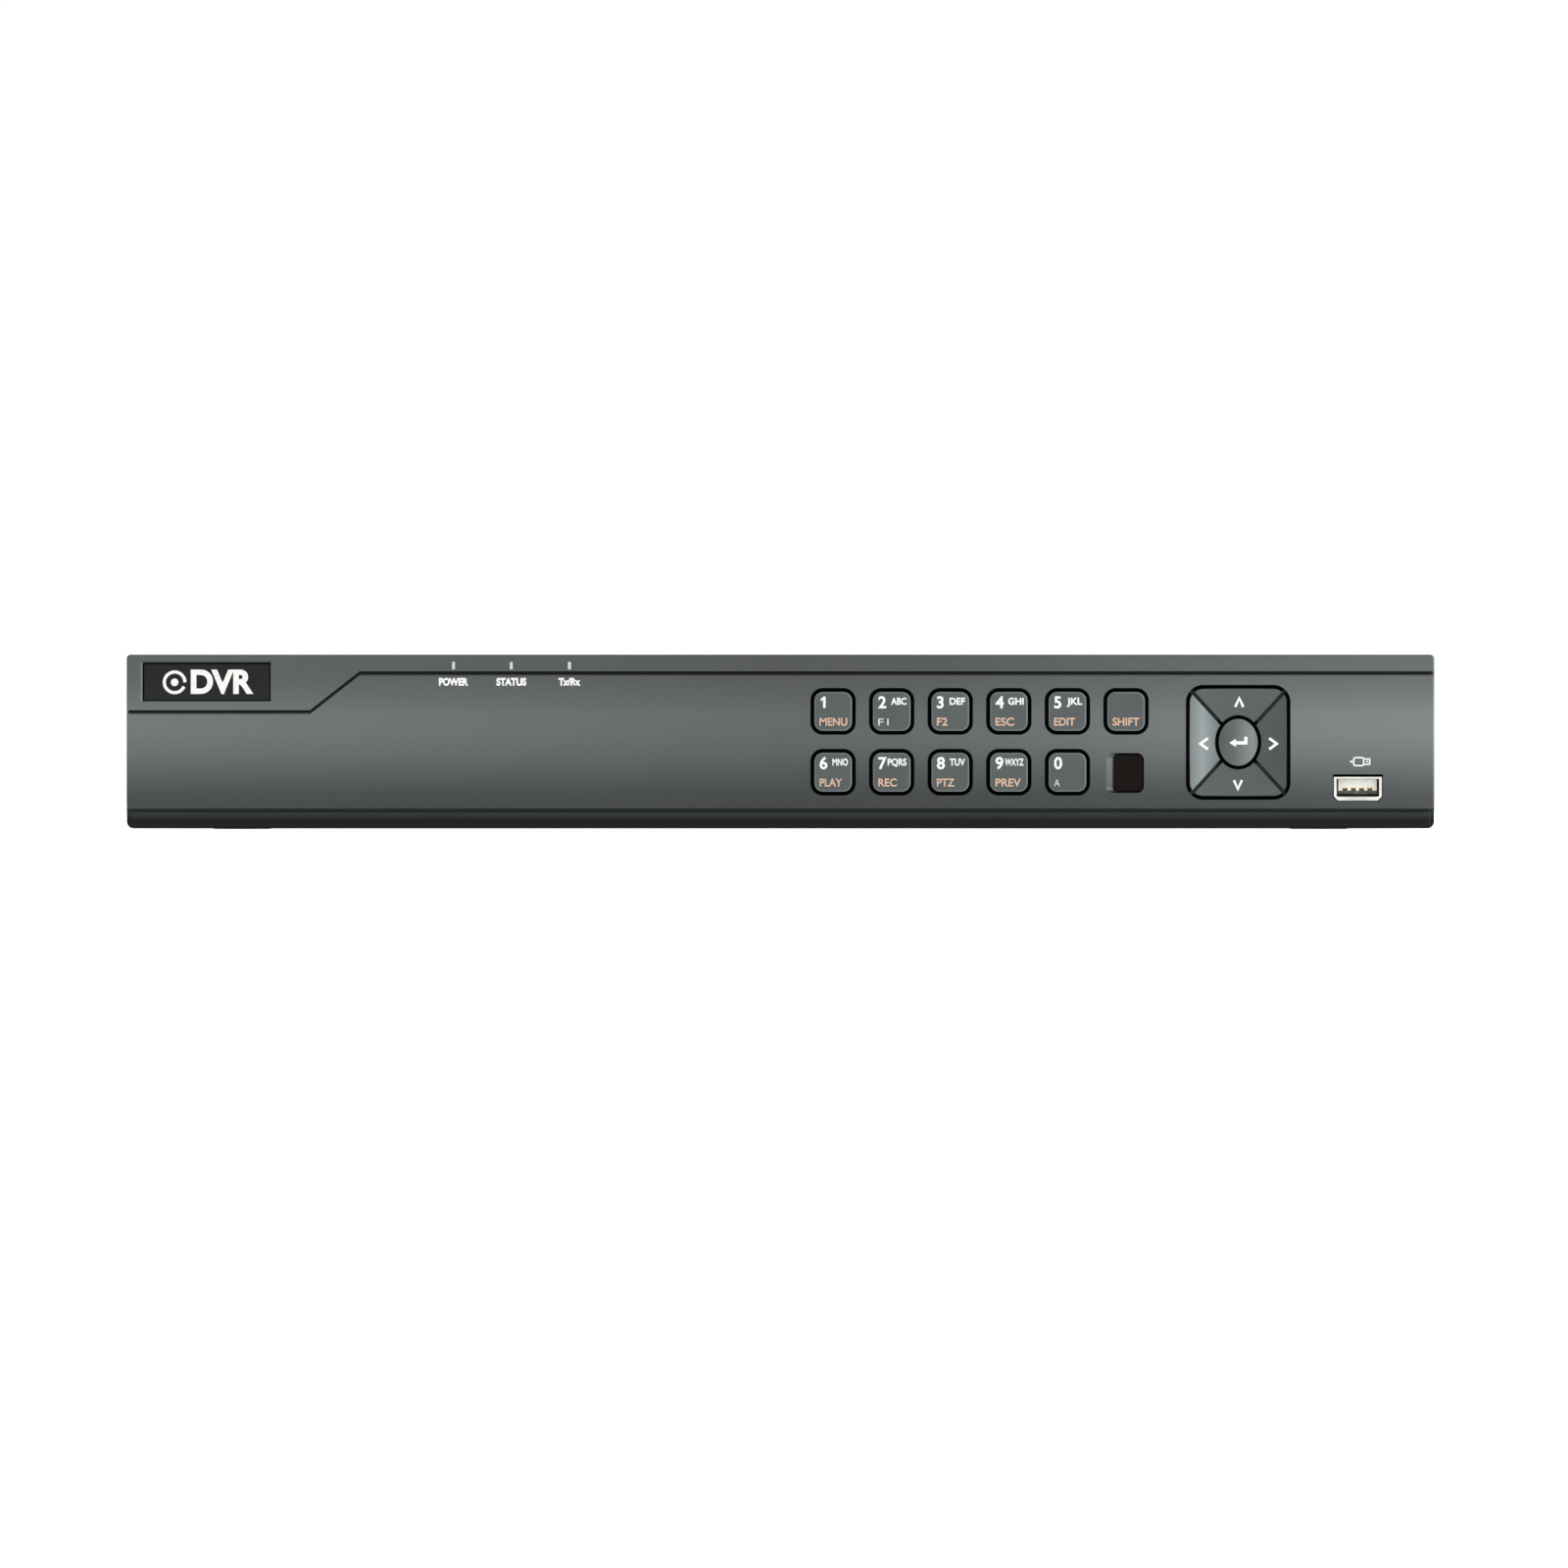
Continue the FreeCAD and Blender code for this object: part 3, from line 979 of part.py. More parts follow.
def fan_frame():
    half = FAN_SIZE / 2
    frame = Part.makeBox(FAN_SIZE, FAN_SIZE, FAN_DEPTH, V(-half, -half, 0))
    frame = soften(frame, 2.5, lambda e: e.BoundBox.ZLength > FAN_DEPTH - 0.01)
    frame = frame.cut(Part.makeCylinder(18.6, FAN_DEPTH + 2, V(0, 0, -1)))
    low = FAN_DEPTH - 1.3
    spokes = [Part.makeBox(40, 2, 1.3, V(-20, -1, low)), Part.makeBox(2, 40, 1.3, V(-1, -20, low))]
    inside = Part.makeCylinder(19.0, 1.3, V(0, 0, low))
    spokes = [s.common(inside) for s in spokes]
    hub = Part.makeCylinder(9.5, 1.3, V(0, 0, low))
    coil = Part.makeCylinder(6.5, 6.0, V(0, 0, low - 5.5))
    frame = union([frame, hub, coil] + spokes)
    holes = [Part.makeCylinder(1.8, FAN_DEPTH + 2, V(sx * 16, sy * 16, -1))
             for sx in (-1, 1) for sy in (-1, 1)]
    return fan_place(frame.cut(Part.makeCompound(holes)).removeSplitter())


def fan_rotor():
    hub = Part.makeCylinder(9.0, 7.4, V(0, 0, 0.8)).cut(Part.makeCylinder(7.4, 7, V(0, 0, 2.2)))
    blade = Part.makeBox(10.2, 0.9, 7.6, V(8.2, -0.45, -3.8))
    blade.rotate(V(0, 0, 0), AXIS_X, 48)
    blade.translate(V(0, 0, 4.7))
    blade = blade.common(Part.makeCylinder(17.7, 9, V(0, 0, 0)))
    blades = []
    for i in range(7):
        one = blade.copy()
        one.rotate(V(0, 0, 0), AXIS_Z, i * 360 / 7)
        blades.append(one)
    return fan_place(union([hub] + blades))


def hard_drives():
    w, d, h = DRIVE_SIZE
    drives = []
    for x in DRIVE_X:
        top = DRIVE_Z0 + h
        body = box(x - w / 2, x + w / 2, DRIVE_Y0, DRIVE_Y0 + d, DRIVE_Z0, top - 1.2)
        lid = box(x - w / 2 + 3, x + w / 2 - 3, DRIVE_Y0 + 2, DRIVE_Y0 + d - 14, top - 1.5, top)
        body = soften(body.fuse(lid).removeSplitter(), 2.0,
                      lambda e: e.BoundBox.ZLength > h - 2)
        cuts = [rod(AXIS_Z, (px, py, DRIVE_Z0 - 1), 1.65, 5) for px, py in drive_screws()
                if abs(px - x) < w / 2]
        cuts.append(box(x - 24, x + 22, DRIVE_Y0 + d - 5, DRIVE_Y0 + d + 1,
                        DRIVE_Z0 + 1.5, DRIVE_Z0 + 7.5))
        drives.append(body.cut(Part.makeCompound(cuts)).removeSplitter())
    return drives


def internal_cables():
    """Drive data and power cables, keypad ribbon, front USB cable and fan cable."""
    parts = []
    back = DRIVE_Y0 + DRIVE_SIZE[1]
    low = DRIVE_Z0 + 4.5
    for i, x in enumerate(PLUG_X):
        plug_in = box(x - 7, x + 7, back - 4, back + 8, low - 2.6, low + 2.6)
        plug_out = box(x - 7, x + 7, 58, 66, 11, 16.4)
        path = [(x, back + 7.5, low), (x, 32, low), (x, 46, 13.7), (x, 58.5, 13.7)]
        line = cable(path, radius=1.9) if i % 2 else cable(path, width=7, thickness=1.8)
        parts.append(union([plug_in, line, plug_out]))
    x, z = RIBBON_X, 20.0
    path = [(x, BOARD_BACK + 1.4, z), (x, -134, z), (x, -122, 5.2), (x, 8, 5.2),
            (x, 17, 12.4), (x, 26, 12.4)]
    parts.append(cable(path, width=RIBBON_WIDTH, thickness=0.7))
    x, z = FRONT_USB[0] + 2, FRONT_USB[1] - 1.2
    plug = box(x - 4, x + 4, -132, -122, USB_BOARD_TOP, z + 2.4)
    path = [(x, -122.5, z), (x, -104, z), (160, -84, 7.2), (160, 40, 7.2), (160, 54, 13), (160, 66, 13)]
    parts.append(union([plug, cable(path, radius=1.6)]))
    x, y, z = FAN
    path = [(x + FAN_DEPTH, y + 14, 12), (x + FAN_DEPTH + 7, y + 14, 12), (-162, y + 22, 13),
            (-162, 68, 13)]
    parts.append(cable(path, radius=1.0))
    return parts


# ---- sub-parts ---------------------------------------------------------------------------
os.makedirs("parts", exist_ok=True)

write("base_chassis", base_chassis())
write("rear_panel", rear_panel())
write("top_cover", top_cover())
write("front_bezel", front_bezel())
write("fascia_plate", fascia_plate())
write("badge_plate", badge_plate())
write("rubber_feet", *rubber_feet())
write("indicator_light_pipes", *light_pipes())
write("ir_window", ir_window())
write("front_boards", *front_boards())
write("keypad_components", *keypad_components())

write("usb_shells", usb_shell(*FRONT_USB, FRONT_MOUTH, 1, USB_BOARD_TOP),
      usb_shell(*REAR_USB, REAR_MOUTH, -1, BOARD_TOP))
write("front_usb_tongue", usb_tongue(*FRONT_USB, FRONT_MOUTH, 1))
write("rear_usb_tongue", usb_tongue(*REAR_USB, REAR_MOUTH, -1))

for name, place in key_places().items():
    write(name, number_key(*place))
for name, side in (("key_up", (0, 1)), ("key_down", (0, -1)),
                   ("key_left", (-1, 0)), ("key_right", (1, 0))):
    write(name, pad_key(side))
write("key_enter", enter_key())

write("cover_screws", *[screw((x, FLANGE_OUT, z), AXIS_Y, 2.9, 1.8, 1.45, 6, 0.8)
                        for x, z in TAB_SCREWS])
write("ground_screw", screw((GROUND_SCREW[0], PANEL_OUT, GROUND_SCREW[1]), AXIS_Y,
                            3.45, 2.0, 1.85, 7, 0.9))
write("panel_screws", *silver_screws())

jacks = [video_jack(x, z) for x, z in video_jacks()]
write("bnc_shells", *[jack[0] for jack in jacks])
write("bnc_insulators", *[jack[1] for jack in jacks])
write("bnc_contacts", *[jack[2] for jack in jacks])
inputs = [audio_jack(x, AUDIO_IN_Z, x == AUDIO_IN_X[0]) for x in AUDIO_IN_X]
output = audio_jack(*AUDIO_OUT, True)
write("rca_shells", *[jack[0] for jack in inputs], output[0])
write("rca_red_insulators", *[jack[1] for jack in inputs])
write("rca_white_insulator", output[1])

port, tongue = hd_port()
write("hd_port_shell", port)
write("hd_port_tongue", tongue)
vga_shell, vga_insert, vga_screws = vga_port()
write("vga_shell", vga_shell)
write("vga_insert", vga_insert)
write("vga_jackscrews", *vga_screws)
lan_shell, lan_insert = lan_port()
write("lan_shell", lan_shell)
write("lan_insert", lan_insert)
write("terminal_blocks", terminal_block(SERIAL_BLOCK, SERIAL_END),
      terminal_block(ALARM_BLOCK, ALARM_END))
for name, way in (("rs485_lever_a", 0), ("rs485_lever_b", 1)):
    write(name, lever(SERIAL_BLOCK[2] - TERMINAL_PITCH * way))
write("alarm_levers", *[lever(ALARM_BLOCK[2] - TERMINAL_PITCH * way)
                        for way in range(ALARM_BLOCK[3])])
write("dc_socket", dc_socket())
write("switch_frame", switch_frame())
write("switch_rocker", switch_rocker())

write("mainboard", mainboard())
write("heatsink", heatsink())
write("board_components", *board_components())
write("fan_frame", fan_frame())
write("fan_rotor", fan_rotor())
write("hard_drives", *hard_drives())
write("internal_cables", *internal_cables())
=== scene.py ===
"""Looks of the sixteen-channel video recorder: materials, printed lettering, contacts, studio."""
import bpy
import bmesh
import json
import math
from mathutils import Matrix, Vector
from mathutils.bvhtree import BVHTree


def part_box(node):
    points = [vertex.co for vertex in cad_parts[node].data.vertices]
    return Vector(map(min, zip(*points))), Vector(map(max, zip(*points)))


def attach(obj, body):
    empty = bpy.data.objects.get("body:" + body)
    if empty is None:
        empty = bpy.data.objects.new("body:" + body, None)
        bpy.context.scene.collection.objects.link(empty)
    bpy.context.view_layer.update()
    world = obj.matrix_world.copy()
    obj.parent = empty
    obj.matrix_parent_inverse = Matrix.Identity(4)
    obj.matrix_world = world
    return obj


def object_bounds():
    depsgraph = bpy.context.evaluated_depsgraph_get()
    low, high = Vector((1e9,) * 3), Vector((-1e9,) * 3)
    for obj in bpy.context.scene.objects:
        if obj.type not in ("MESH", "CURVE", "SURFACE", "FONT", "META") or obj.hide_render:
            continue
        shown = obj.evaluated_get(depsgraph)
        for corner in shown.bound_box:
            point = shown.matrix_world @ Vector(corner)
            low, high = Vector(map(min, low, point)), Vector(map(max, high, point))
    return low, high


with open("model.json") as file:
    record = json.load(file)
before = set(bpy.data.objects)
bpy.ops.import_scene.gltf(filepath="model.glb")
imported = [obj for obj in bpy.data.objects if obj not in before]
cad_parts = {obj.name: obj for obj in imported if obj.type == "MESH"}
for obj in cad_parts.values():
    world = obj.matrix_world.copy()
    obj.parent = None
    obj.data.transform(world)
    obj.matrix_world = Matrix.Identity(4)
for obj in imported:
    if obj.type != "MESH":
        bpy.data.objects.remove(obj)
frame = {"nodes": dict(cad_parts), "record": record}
CAD_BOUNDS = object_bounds()
NODES = frame["nodes"]
MM = 0.001                  # lengths are in millimetres up to the studio, which is in metres
HALF_WIDTH = CAD_BOUNDS[1][0] / MM
TOP = CAD_BOUNDS[1][2] / MM
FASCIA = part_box("fascia_plate")[0].y / MM       # Y of the faces that carry print
KEY_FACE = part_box("key_1")[0].y / MM
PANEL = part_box("rear_panel")[1].y / MM


def centre(node):
    low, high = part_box(node)
    return (low + high) / 2 / MM


# ---- procedural materials ----------------------------------------------------------------
class Shader:
    """A Principled material with a few node helpers."""

    def __init__(self, name, rough=0.5, metallic=0.0, **inputs):
        self.material = bpy.data.materials.new(name)
        self.material.use_nodes = True
        self.tree = self.material.node_tree
        self.tree.nodes.clear()
        self.output = self.tree.nodes.new("ShaderNodeOutputMaterial")
        self.bsdf = self.tree.nodes.new("ShaderNodeBsdfPrincipled")
        self.link(self.bsdf.outputs[0], self.output.inputs[0])
        self.bsdf.inputs["Roughness"].default_value = rough
        self.bsdf.inputs["Metallic"].default_value = metallic
        for key, value in inputs.items():
            self.bsdf.inputs[key.replace("_", " ")].default_value = value
        self.place = self.tree.nodes.new("ShaderNodeTexCoord").outputs["Object"]

    def link(self, a, b):
        self.tree.links.new(a, b)

    def stretched(self, scale):
        """Object coordinates scaled per axis, for brushed or drawn grain."""
        node = self.tree.nodes.new("ShaderNodeMapping")
        node.inputs["Scale"].default_value = scale
        self.link(self.place, node.inputs["Vector"])
        return node.outputs[0]

    def noise(self, scale, detail=3.0, place=None):
        node = self.tree.nodes.new("ShaderNodeTexNoise")
        node.inputs["Scale"].default_value = scale
        node.inputs["Detail"].default_value = detail
        self.link(place or self.place, node.inputs["Vector"])
        return node.outputs["Fac"]

    def cells(self, scale):
        node = self.tree.nodes.new("ShaderNodeTexVoronoi")
        node.inputs["Scale"].default_value = scale
        self.link(self.place, node.inputs["Vector"])
        return node.outputs["Color"]

    def ramp(self, value, stops):
        """Colour ramp; a stop is (position, colour or grey level)."""
        node = self.tree.nodes.new("ShaderNodeValToRGB")
        elements = node.color_ramp.elements
        while len(elements) < len(stops):
            elements.new(0.5)
        for element, (position, colour) in zip(elements, stops):
            element.position = position
            element.color = rgba(colour)
        self.link(value, node.inputs[0])
        return node.outputs[0]

    def drift(self, value, colour, low, high, ends=(0.3, 0.7)):
        """One colour that drifts between low and high times its brightness."""
        return self.ramp(value, [(ends[0], shade(colour, low)), (ends[1], shade(colour, high))])

    def mix(self, kind, factor, a, b):
        """Mixes two colours; factor and colours are sockets or plain values."""
        node = self.tree.nodes.new("ShaderNodeMix")
        node.data_type = "RGBA"
        node.blend_type = kind
        for index, value in ((0, factor), (6, a), (7, b)):
            if isinstance(value, bpy.types.NodeSocket):
                self.link(value, node.inputs[index])
            else:
                node.inputs[index].default_value = rgba(value) if index else value
        return node.outputs[2]

    def axis(self, name, low, high):
        """0 to 1 along one object axis, between two places in millimetres."""
        split = self.tree.nodes.new("ShaderNodeSeparateXYZ")
        self.link(self.place, split.inputs[0])
        node = self.tree.nodes.new("ShaderNodeMapRange")
        node.inputs["From Min"].default_value = low * MM
        node.inputs["From Max"].default_value = high * MM
        self.link(split.outputs[name], node.inputs["Value"])
        return node.outputs[0]

    def off_panel(self, low, high):
        """0 to 1 between two distances out from the rear panel, in millimetres."""
        return self.axis("Y", PANEL + low, PANEL + high)

    def turned(self, stops):
        """Ramp over how squarely a surface faces front or back: 0 sideways, 1 straight on."""
        split = self.tree.nodes.new("ShaderNodeSeparateXYZ")
        coordinates = self.tree.nodes.new("ShaderNodeTexCoord")
        self.link(coordinates.outputs["Normal"], split.inputs[0])
        return self.ramp(self.combine("ABSOLUTE", split.outputs["Y"], 0.0), stops)

    def walls(self):
        """1 on surfaces that face sideways or up and down, 0 on those that face front or back."""
        return self.turned([(0.12, 255), (0.4, 0)])

    def level(self, value, low, high):
        """Maps 0..1 to low..high."""
        node = self.tree.nodes.new("ShaderNodeMapRange")
        node.inputs["To Min"].default_value = low
        node.inputs["To Max"].default_value = high
        self.link(value, node.inputs["Value"])
        return node.outputs[0]

    def combine(self, kind, a, b):
        """Arithmetic of two sockets or numbers, kept within 0 to 1."""
        node = self.tree.nodes.new("ShaderNodeMath")
        node.operation = kind
        node.use_clamp = True
        for index, value in enumerate((a, b)):
            if isinstance(value, bpy.types.NodeSocket):
                self.link(value, node.inputs[index])
            else:
                node.inputs[index].default_value = value
        return node.outputs[0]

    def colour(self, socket):
        self.link(socket, self.bsdf.inputs["Base Color"])

    def metal(self, value):
        """Metallic share; at 1 a dark colour reflects nothing head-on, which paints a gap in black
        shade.
        """
        self.link(value, self.bsdf.inputs["Metallic"])

    def roughness(self, value, low, high):
        self.link(self.level(value, low, high), self.bsdf.inputs["Roughness"])

    def bump(self, value, depth):
        """Relief of a depth in millimetres."""
        node = self.tree.nodes.new("ShaderNodeBump")
        node.inputs["Distance"].default_value = depth * MM
        node.inputs["Strength"].default_value = 1.0
        self.link(value, node.inputs["Height"])
        self.link(node.outputs[0], self.bsdf.inputs["Normal"])


def rgba(colour):
    """Display colour (0 to 255 per channel, or one grey level) as linear RGBA."""
    if isinstance(colour, (int, float)):
        colour = (colour, colour, colour)
    return [(c / 255 / 12.92 if c < 10.3 else ((c / 255 + 0.055) / 1.055) ** 2.4)
            for c in colour] + [1.0]


def shade(colour, factor):
    return tuple(min(255, c * factor) for c in colour)


def painted(name, colour, rough, grain=2200, depth=0.012, spread=0.05, gloss=0.5, sheen=0.0):
    """Powder or wet paint: fine orange peel, slight tone drift, dust-fine roughness changes."""
    look = Shader(name, rough=rough, Specular_IOR_Level=gloss, Sheen_Weight=sheen,
                  Sheen_Roughness=0.3)
    look.colour(look.drift(look.noise(9, 4), colour, 1 - spread, 1 + spread))
    look.roughness(look.noise(60, 5), rough - 0.06, rough + 0.06)
    look.bump(look.noise(grain, 3), depth)
    return look.material


def moulded(name, colour, rough, texture=1500, depth=0.01, spread=0.06, gloss=0.5):
    """Moulded plastic: fine spark-eroded texture with faint flow marks."""
    look = Shader(name, rough=rough, Specular_IOR_Level=gloss)
    flow = look.noise(1, 3, look.stretched((40, 40, 220)))
    look.colour(look.drift(flow, colour, 1 - spread, 1 + spread, ends=(0.35, 0.65)))
    look.roughness(look.noise(120, 4), rough - 0.07, rough + 0.07)
    look.bump(look.noise(texture, 2), depth)
    return look.material


def plated(name, colour, rough, brush=(400, 400, 30)):
    """Plated or turned metal: fine directional grain and tarnish in broad patches."""
    look = Shader(name, rough=rough, metallic=1.0)
    look.colour(look.drift(look.noise(90, 5), colour, 0.9, 1.1))
    grain = look.noise(6, 3, look.stretched(brush))
    look.roughness(grain, rough - 0.08, rough + 0.12)
    look.bump(grain, 0.004)
    return look.material


def screw_metal(name, colour, recess_shade, floor, rough):
    """Plated screws, with painted shade in the cross recess of the rear heads, which ends at
    floor.
    """
    look = Shader(name, rough=rough, metallic=1.0)
    plain = look.drift(look.noise(500, 4), colour, 0.86, 1.12)
    deep = look.combine("ADD", look.off_panel(floor + 0.1, floor), look.walls())
    deep = look.combine("MULTIPLY", deep, look.off_panel(-1.0, -0.9))
    look.colour(look.mix("MIX", deep, plain, recess_shade))
    look.roughness(look.noise(300, 3), rough - 0.06, rough + 0.1)
    look.bump(look.noise(900, 3), 0.004)
    return look.material


def lever_plastic(name):
    """Orange levers, with painted shade in the slot across the tip and down the sides."""
    look = Shader(name, rough=0.45, Specular_IOR_Level=0.3)
    tone = look.ramp(look.noise(260, 3), [(0.35, (190, 116, 62)), (0.65, (202, 126, 70))])
    deep = look.combine("ADD", look.off_panel(2.4, 2.2), look.walls())
    look.colour(look.mix("MIX", deep, tone, (92, 46, 26)))
    look.roughness(look.noise(200, 3), 0.4, 0.54)
    look.bump(look.noise(1500, 2), 0.008)
    return look.material


def port_metal(name, colour, rough):
    """Tinned port shells: bright at the mouth, with painted shade inside."""
    look = Shader(name, rough=rough, metallic=1.0)
    front = look.axis("Y", FASCIA + 1.2, FASCIA + 2.4)
    rear = look.off_panel(-0.2, -1.4)
    bright = look.drift(look.noise(90, 5), colour, 0.9, 1.08)
    look.colour(look.mix("MIX", look.combine("MULTIPLY", front, rear), bright, (36, 36, 35)))
    grain = look.noise(6, 3, look.stretched((400, 400, 30)))
    look.roughness(grain, rough - 0.06, rough + 0.12)
    look.bump(grain, 0.004)
    return look.material


def jack_nickel(name, base, tip):
    """Warm turned nickel with painted light: a painted highlight at the tip, painted shade towards
    the panel and in the bore.
    """
    look = Shader(name, rough=0.26, metallic=1.0)
    tone = look.ramp(look.off_panel(base, tip), [
        (0.0, (70, 67, 58)), (0.06, (164, 161, 148)), (0.15, (146, 142, 128)),
        (0.3, (104, 100, 87)), (0.7, (142, 138, 124)), (0.97, (226, 222, 211))])
    patches = look.ramp(look.noise(260, 4), [(0.3, 205), (0.7, 255)])
    look.colour(look.mix("MULTIPLY", 1.0, tone, patches))
    grain = look.noise(6, 3, look.stretched((60, 700, 60)))
    look.roughness(grain, 0.16, 0.34)
    look.bump(grain, 0.003)
    return look.material


def deep_plastic(name, mouth, bottom, face, shadow, rough, gloss=0.5):
    """Moulded insert whose colour sinks into shadow from the mouth to the bottom of its hole."""
    look = Shader(name, rough=rough, Specular_IOR_Level=gloss)
    tone = look.ramp(look.off_panel(bottom, mouth),
                     [(0.0, shadow), (0.75, face), (1.0, shade(face, 1.06))])
    look.colour(look.mix("MULTIPLY", 0.25, tone,
                         look.ramp(look.noise(300, 3), [(0.3, 190), (0.7, 255)])))
    look.roughness(look.noise(240, 3), rough - 0.06, rough + 0.08)
    look.bump(look.noise(1500, 2), 0.006)
    return look.material


def zinc_sheet(name):
    """Galvanised sheet: pale spangles of slightly different grey."""
    look = Shader(name, rough=0.42, metallic=0.9)
    look.colour(look.mix("MIX", 0.09, (168, 172, 172), look.cells(130)))
    look.roughness(look.noise(160, 4), 0.34, 0.52)
    look.bump(look.noise(900, 2), 0.004)
    return look.material


def fascia_paint(name):
    """Fine metallic grey lacquer, deeper in tone low down and in the middle as painted reflection
    and shade, and black as painted shade in each cut and groove.
    """
    look = Shader(name, rough=0.42, metallic=0.25, Coat_Weight=0.15, Coat_Roughness=0.3)
    # painted reflection and shade along Z: dark low down, brightest a little above the middle,
    # darker again near the top
    tone = look.ramp(look.axis("Z", 5, 49), [
        (0.0, (44, 49, 50)), (0.12, (52, 58, 58)), (0.24, (74, 80, 80)), (0.37, (93, 99, 99)),
        (0.52, (105, 111, 111)), (0.64, (106, 112, 111)), (0.78, (92, 98, 96)),
        (0.9, (80, 86, 83)), (1.0, (80, 86, 83))])
    # painted light and shade along X: darker in the middle, lighter towards both ends, lightest at
    # the right
    light_across = look.ramp(look.axis("X", -HALF_WIDTH, HALF_WIDTH), [
        (0.0, 214), (0.2, 200), (0.35, 188), (0.5, 174), (0.62, 180), (0.8, 210), (0.9, 225),
        (1.0, 232)])
    tone = look.mix("MULTIPLY", 1.0, tone, light_across)
    flakes = look.ramp(look.noise(4200, 1), [(0.5, 0), (0.75, 60)])
    tone = look.mix("ADD", 0.2, tone, flakes)
    within = look.combine("MULTIPLY", look.axis("X", HALF_WIDTH - 0.3, HALF_WIDTH - 0.8),
                      look.axis("X", 0.3 - HALF_WIDTH, 0.8 - HALF_WIDTH))
    within = look.combine("MULTIPLY", within, look.axis("Z", TOP - 0.4, TOP - 0.8))
    groove = look.combine("MULTIPLY", look.axis("Y", FASCIA + 0.4, FASCIA + 0.6),
                      look.axis("Z", 33, 34))
    # painted shade: the walls of each cut and the groove go near black and reflect nothing head-on
    gap_shade = look.combine("MULTIPLY", within, look.combine("ADD", look.walls(), groove))
    look.colour(look.mix("MIX", gap_shade, tone, (12, 13, 13)))
    look.metal(look.level(gap_shade, 0.25, 1.0))
    look.roughness(look.noise(70, 5), 0.36, 0.48)
    look.bump(look.noise(2600, 2), 0.006)
    return look.material


def key_cap(name, sheen=((0.0, 132), (1.0, 132)), span=(0, 200)):
    """Grey lacquer on the face of a black moulded key; sheen is a painted highlight, its tone
    along X over span.
    """
    look = Shader(name, rough=0.36, Specular_IOR_Level=0.35)
    tone = look.ramp(look.noise(70, 3), [(0.3, (128, 138, 138)), (0.7, (140, 150, 150))])
    tone = look.mix("MULTIPLY", 1.0, tone, look.ramp(look.axis("X", *span), sheen))
    # painted highlight: a lighter tone on the rounded edge of the face
    rim_highlight = look.turned([(0.4, 0), (0.62, 255), (0.93, 255), (0.985, 0)])
    tone = look.mix("MIX", look.combine("MULTIPLY", rim_highlight, 0.6), tone, (122, 128, 127))
    # the key's black body deep in the gap, made fully metallic so that it reflects nothing
    # head-on: partly its own colour, partly painted shade
    deep = look.combine("ADD", look.turned([(0.3, 255), (0.6, 0)]),
                    look.axis("Y", KEY_FACE + 1.2, KEY_FACE + 1.6))
    look.colour(look.mix("MIX", deep, tone, (5, 6, 6)))
    look.metal(deep)
    look.roughness(look.noise(300, 3), 0.26, 0.38)
    look.bump(look.noise(1800, 2), 0.005)
    return look.material


def bezel(name):
    """Dark grey moulding, black along its lower edge."""
    look = Shader(name, rough=0.46, Specular_IOR_Level=0.12)
    tone = look.ramp(look.noise(60, 3), [(0.3, (35, 42, 39)), (0.7, (39, 46, 43))])
    look.colour(look.mix("MIX", look.axis("Z", 4.4, 2.6), tone, (11, 14, 12)))
    look.roughness(look.noise(120, 4), 0.4, 0.54)
    look.bump(look.noise(1500, 2), 0.01)
    return look.material


def board_mask(name):
    """Green solder mask over copper tracks."""
    look = Shader(name, rough=0.35, Coat_Weight=0.4, Coat_Roughness=0.2)
    tracks = look.noise(2, 0, look.stretched((170, 60, 60)))
    look.colour(look.ramp(tracks, [(0.44, (14, 62, 34)), (0.5, (26, 92, 52)),
                                   (0.56, (16, 68, 38))]))
    look.bump(tracks, 0.03)
    return look.material


def clear_light(name):
    """Slightly milky clear plastic of the light pipes."""
    look = Shader(name, rough=0.28, Transmission_Weight=0.35, IOR=1.49)
    look.colour(look.ramp(look.noise(300, 2), [(0.3, (196, 202, 198)), (0.7, (224, 228, 222))]))
    return look.material


def dark_glass(name):
    """Dark red infrared filter: nearly black and glossy."""
    look = Shader(name, rough=0.2, Specular_IOR_Level=0.08)
    look.colour(look.ramp(look.noise(60, 3), [(0.3, (12, 6, 4)), (0.7, (16, 8, 6))]))
    look.roughness(look.noise(140, 3), 0.14, 0.26)
    return look.material


def ink(name, colour, rough=0.55):
    """Screen-printed ink, very slightly uneven."""
    look = Shader(name, rough=rough)
    look.colour(look.drift(look.noise(1400, 3), colour, 0.94, 1.04))
    look.roughness(look.noise(900, 2), rough - 0.06, rough + 0.08)
    return look.material


